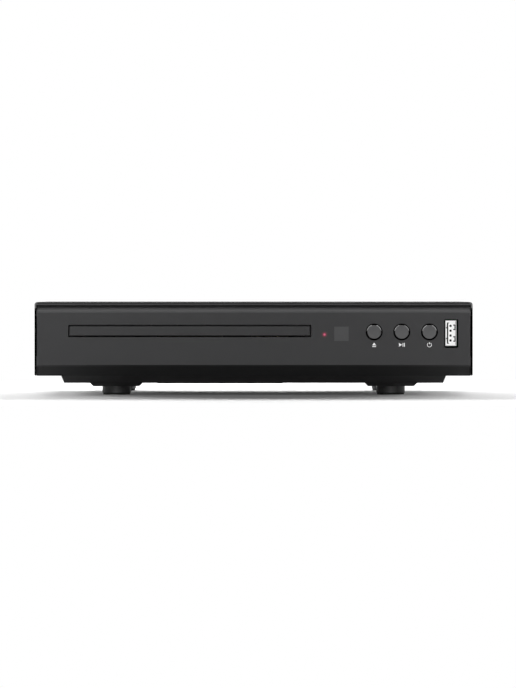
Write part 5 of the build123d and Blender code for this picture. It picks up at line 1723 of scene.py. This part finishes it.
@dataclass
class Studio:
    """A plain pale floor, soft light and the camera at the photograph's angle."""

    distance: float = 3.6
    eye_height: float = 0.054
    eye_x: float = 0.0023
    clip: Pair = (0.1, 50.0)
    picture_width: int = 516
    picture_height: int = 688
    middle_x: float = 253.6
    floor_y: float = 395.1
    scale: float = 0.5135 * MM
    sensor: float = 36.0
    sky: float = 0.08
    softboxes: tuple[Softbox, ...] = (
        Softbox("floor_softbox", 180.0, 17.5, 4.0, (3.0, 0.5), 2.45, for_floor=True),
        Softbox("left_floor_softbox", -139.0, 15.0, 3.0, (1.2, 0.4), 0.95, for_floor=True),
        Softbox("right_floor_softbox", 139.0, 15.0, 3.0, (1.2, 0.4), 0.6, for_floor=True),
        Softbox("under_softbox", 180.0, 4.5, 3.0, (4.0, 0.12), 7.0, for_floor=True),
        Softbox("low_softbox", 0.0, 4.0, 3.0, (4.0, 0.1), 0.8, for_floor=True),
        Softbox("front_softbox", 0.0, 42.0, 3.5, (3.4, 1.6), 0.56),
        Softbox("left_softbox", -90.0, 30.0, 3.0, (1.6, 1.6), 0.5),
        Softbox("right_softbox", 90.0, 30.0, 3.0, (1.6, 1.6), 0.5),
        Softbox("back_softbox", 180.0, 30.0, 3.2, (3.0, 1.2), 0.6),
        Softbox("left_rim_softbox", -85.0, 45.0, 1.5, (0.4, 0.4), 0.12, gloss_only=True),
        Softbox("right_rim_softbox", 85.0, 45.0, 1.5, (0.4, 0.4), 0.12, gloss_only=True),
    )
    floor_half: float = 8.0
    floor_thick: float = 0.02
    shadow_reach: Pair = (0.32, 0.48)
    floor_roughness: float = 0.9
    floor_colour: Colour = grey(250)
    floor_cloud: Pair = (3.0, 2.0)
    floor_mottle: float = 0.005

    def camera(self) -> None:
        """Sets the camera and its lens, and turns it to what the photograph shows in its middle."""
        data = bpy.data.cameras.new("camera")
        eye = bpy.data.objects.new("camera", data)
        bpy.context.scene.collection.objects.link(eye)
        face = Places().face_y
        eye.location = (self.eye_x, face - self.distance, self.eye_height)
        data.sensor_width = self.sensor
        data.lens = self.sensor * self.distance / (self.picture_height * self.scale)
        data.clip_start, data.clip_end = self.clip
        middle_z = (self.floor_y - self.picture_height / 2) * self.scale
        middle_x = (self.picture_width / 2 - self.middle_x) * self.scale
        aim = Vector((middle_x, face, middle_z))
        eye.rotation_euler = (aim - eye.location).to_track_quat("-Z", "Y").to_euler()
        bpy.context.scene.camera = eye

    def light(self, box: Softbox, floor: Thing) -> None:
        """Adds one softbox.

        Args:
            box: The softbox.
            floor: The floor, which a softbox lights alone or leaves out.
        """
        turn, rise = radians(box.azimuth), radians(box.rise)
        place = Vector((sin(turn) * cos(rise), -cos(turn) * cos(rise), sin(rise))) * box.distance
        data = bpy.data.lights.new(box.name, "AREA")
        data.shape, data.size, data.size_y = "RECTANGLE", *box.size
        data.energy = box.level * pi * pi * box.distance**2
        lamp = bpy.data.objects.new(box.name, data)
        lamp.location = place
        lamp.rotation_euler = (-place).to_track_quat("-Z", "Y").to_euler()
        lamp.visible_camera = False
        lamp.visible_diffuse = not box.gloss_only
        bpy.context.scene.collection.objects.link(lamp)
        group = bpy.data.collections.new(f"{box.name}_receivers")
        group.objects.link(floor)
        group.collection_objects[0].light_linking.link_state = "INCLUDE" if box.for_floor else "EXCLUDE"
        lamp.light_linking.receiver_collection = group

    def world(self) -> None:
        """Sets a white backdrop for the camera, glass and metal, and a dim sky for the rest."""
        graph = Graph("studio_world", world=True)
        bpy.context.scene.world = graph.material
        shown = graph.rays("Is Camera Ray", "Is Glossy Ray", "Is Transmission Ray")
        graph.set(Color=(1.0, 1.0, 1.0), Strength=shown + (1 - shown) * self.sky)

    def floor(self) -> Thing:
        """Lays a wide white floor that keeps the player's shadow and fades into the backdrop.

        Returns:
            The floor.
        """
        half = self.floor_half
        corners = [(-half, -half), (half, -half), (half, half), (-half, half)]
        thing = Workshop.object_of(Workshop.prism(corners, -self.floor_thick, 0.0), "studio_floor")
        graph = Graph("studio_floor_finish")
        low = tuple(c * (1 - self.floor_mottle) for c in self.floor_colour)
        colour = graph.blend(graph.noise(*self.floor_cloud), low, self.floor_colour)
        graph.set(Base_Color=colour, Roughness=self.floor_roughness, Specular_IOR_Level=0.0)
        x, y, _ = graph.axes()
        glow = graph.node("ShaderNodeEmission", None, {"Color": (1.0, 1.0, 1.0), "Strength": 1.0})
        share = graph.rays("Is Camera Ray") * x.span(y).ramp(*self.shadow_reach)
        graph.cover(share, glow)
        thing.data.materials.append(graph.material)
        return thing

    def build(self) -> None:
        """Sets up the studio."""
        bpy.context.scene.view_settings.view_transform = "Standard"
        self.world()
        floor = self.floor()
        for box in self.softboxes:
            self.light(box, floor)
        self.camera()
        log.info("studio ready")


def main() -> None:
    """Builds the player in order."""
    logging.basicConfig(level=logging.INFO, format="%(message)s")
    places = Places()
    Studio().build()
    for kind in (Case, FrontControls, ScrewHeads, Loader, Traverse, Electronics):
        for name in kind(places).build():
            log.info("%s: %s", kind.__name__, name)


if __name__ == "__main__":
    main()
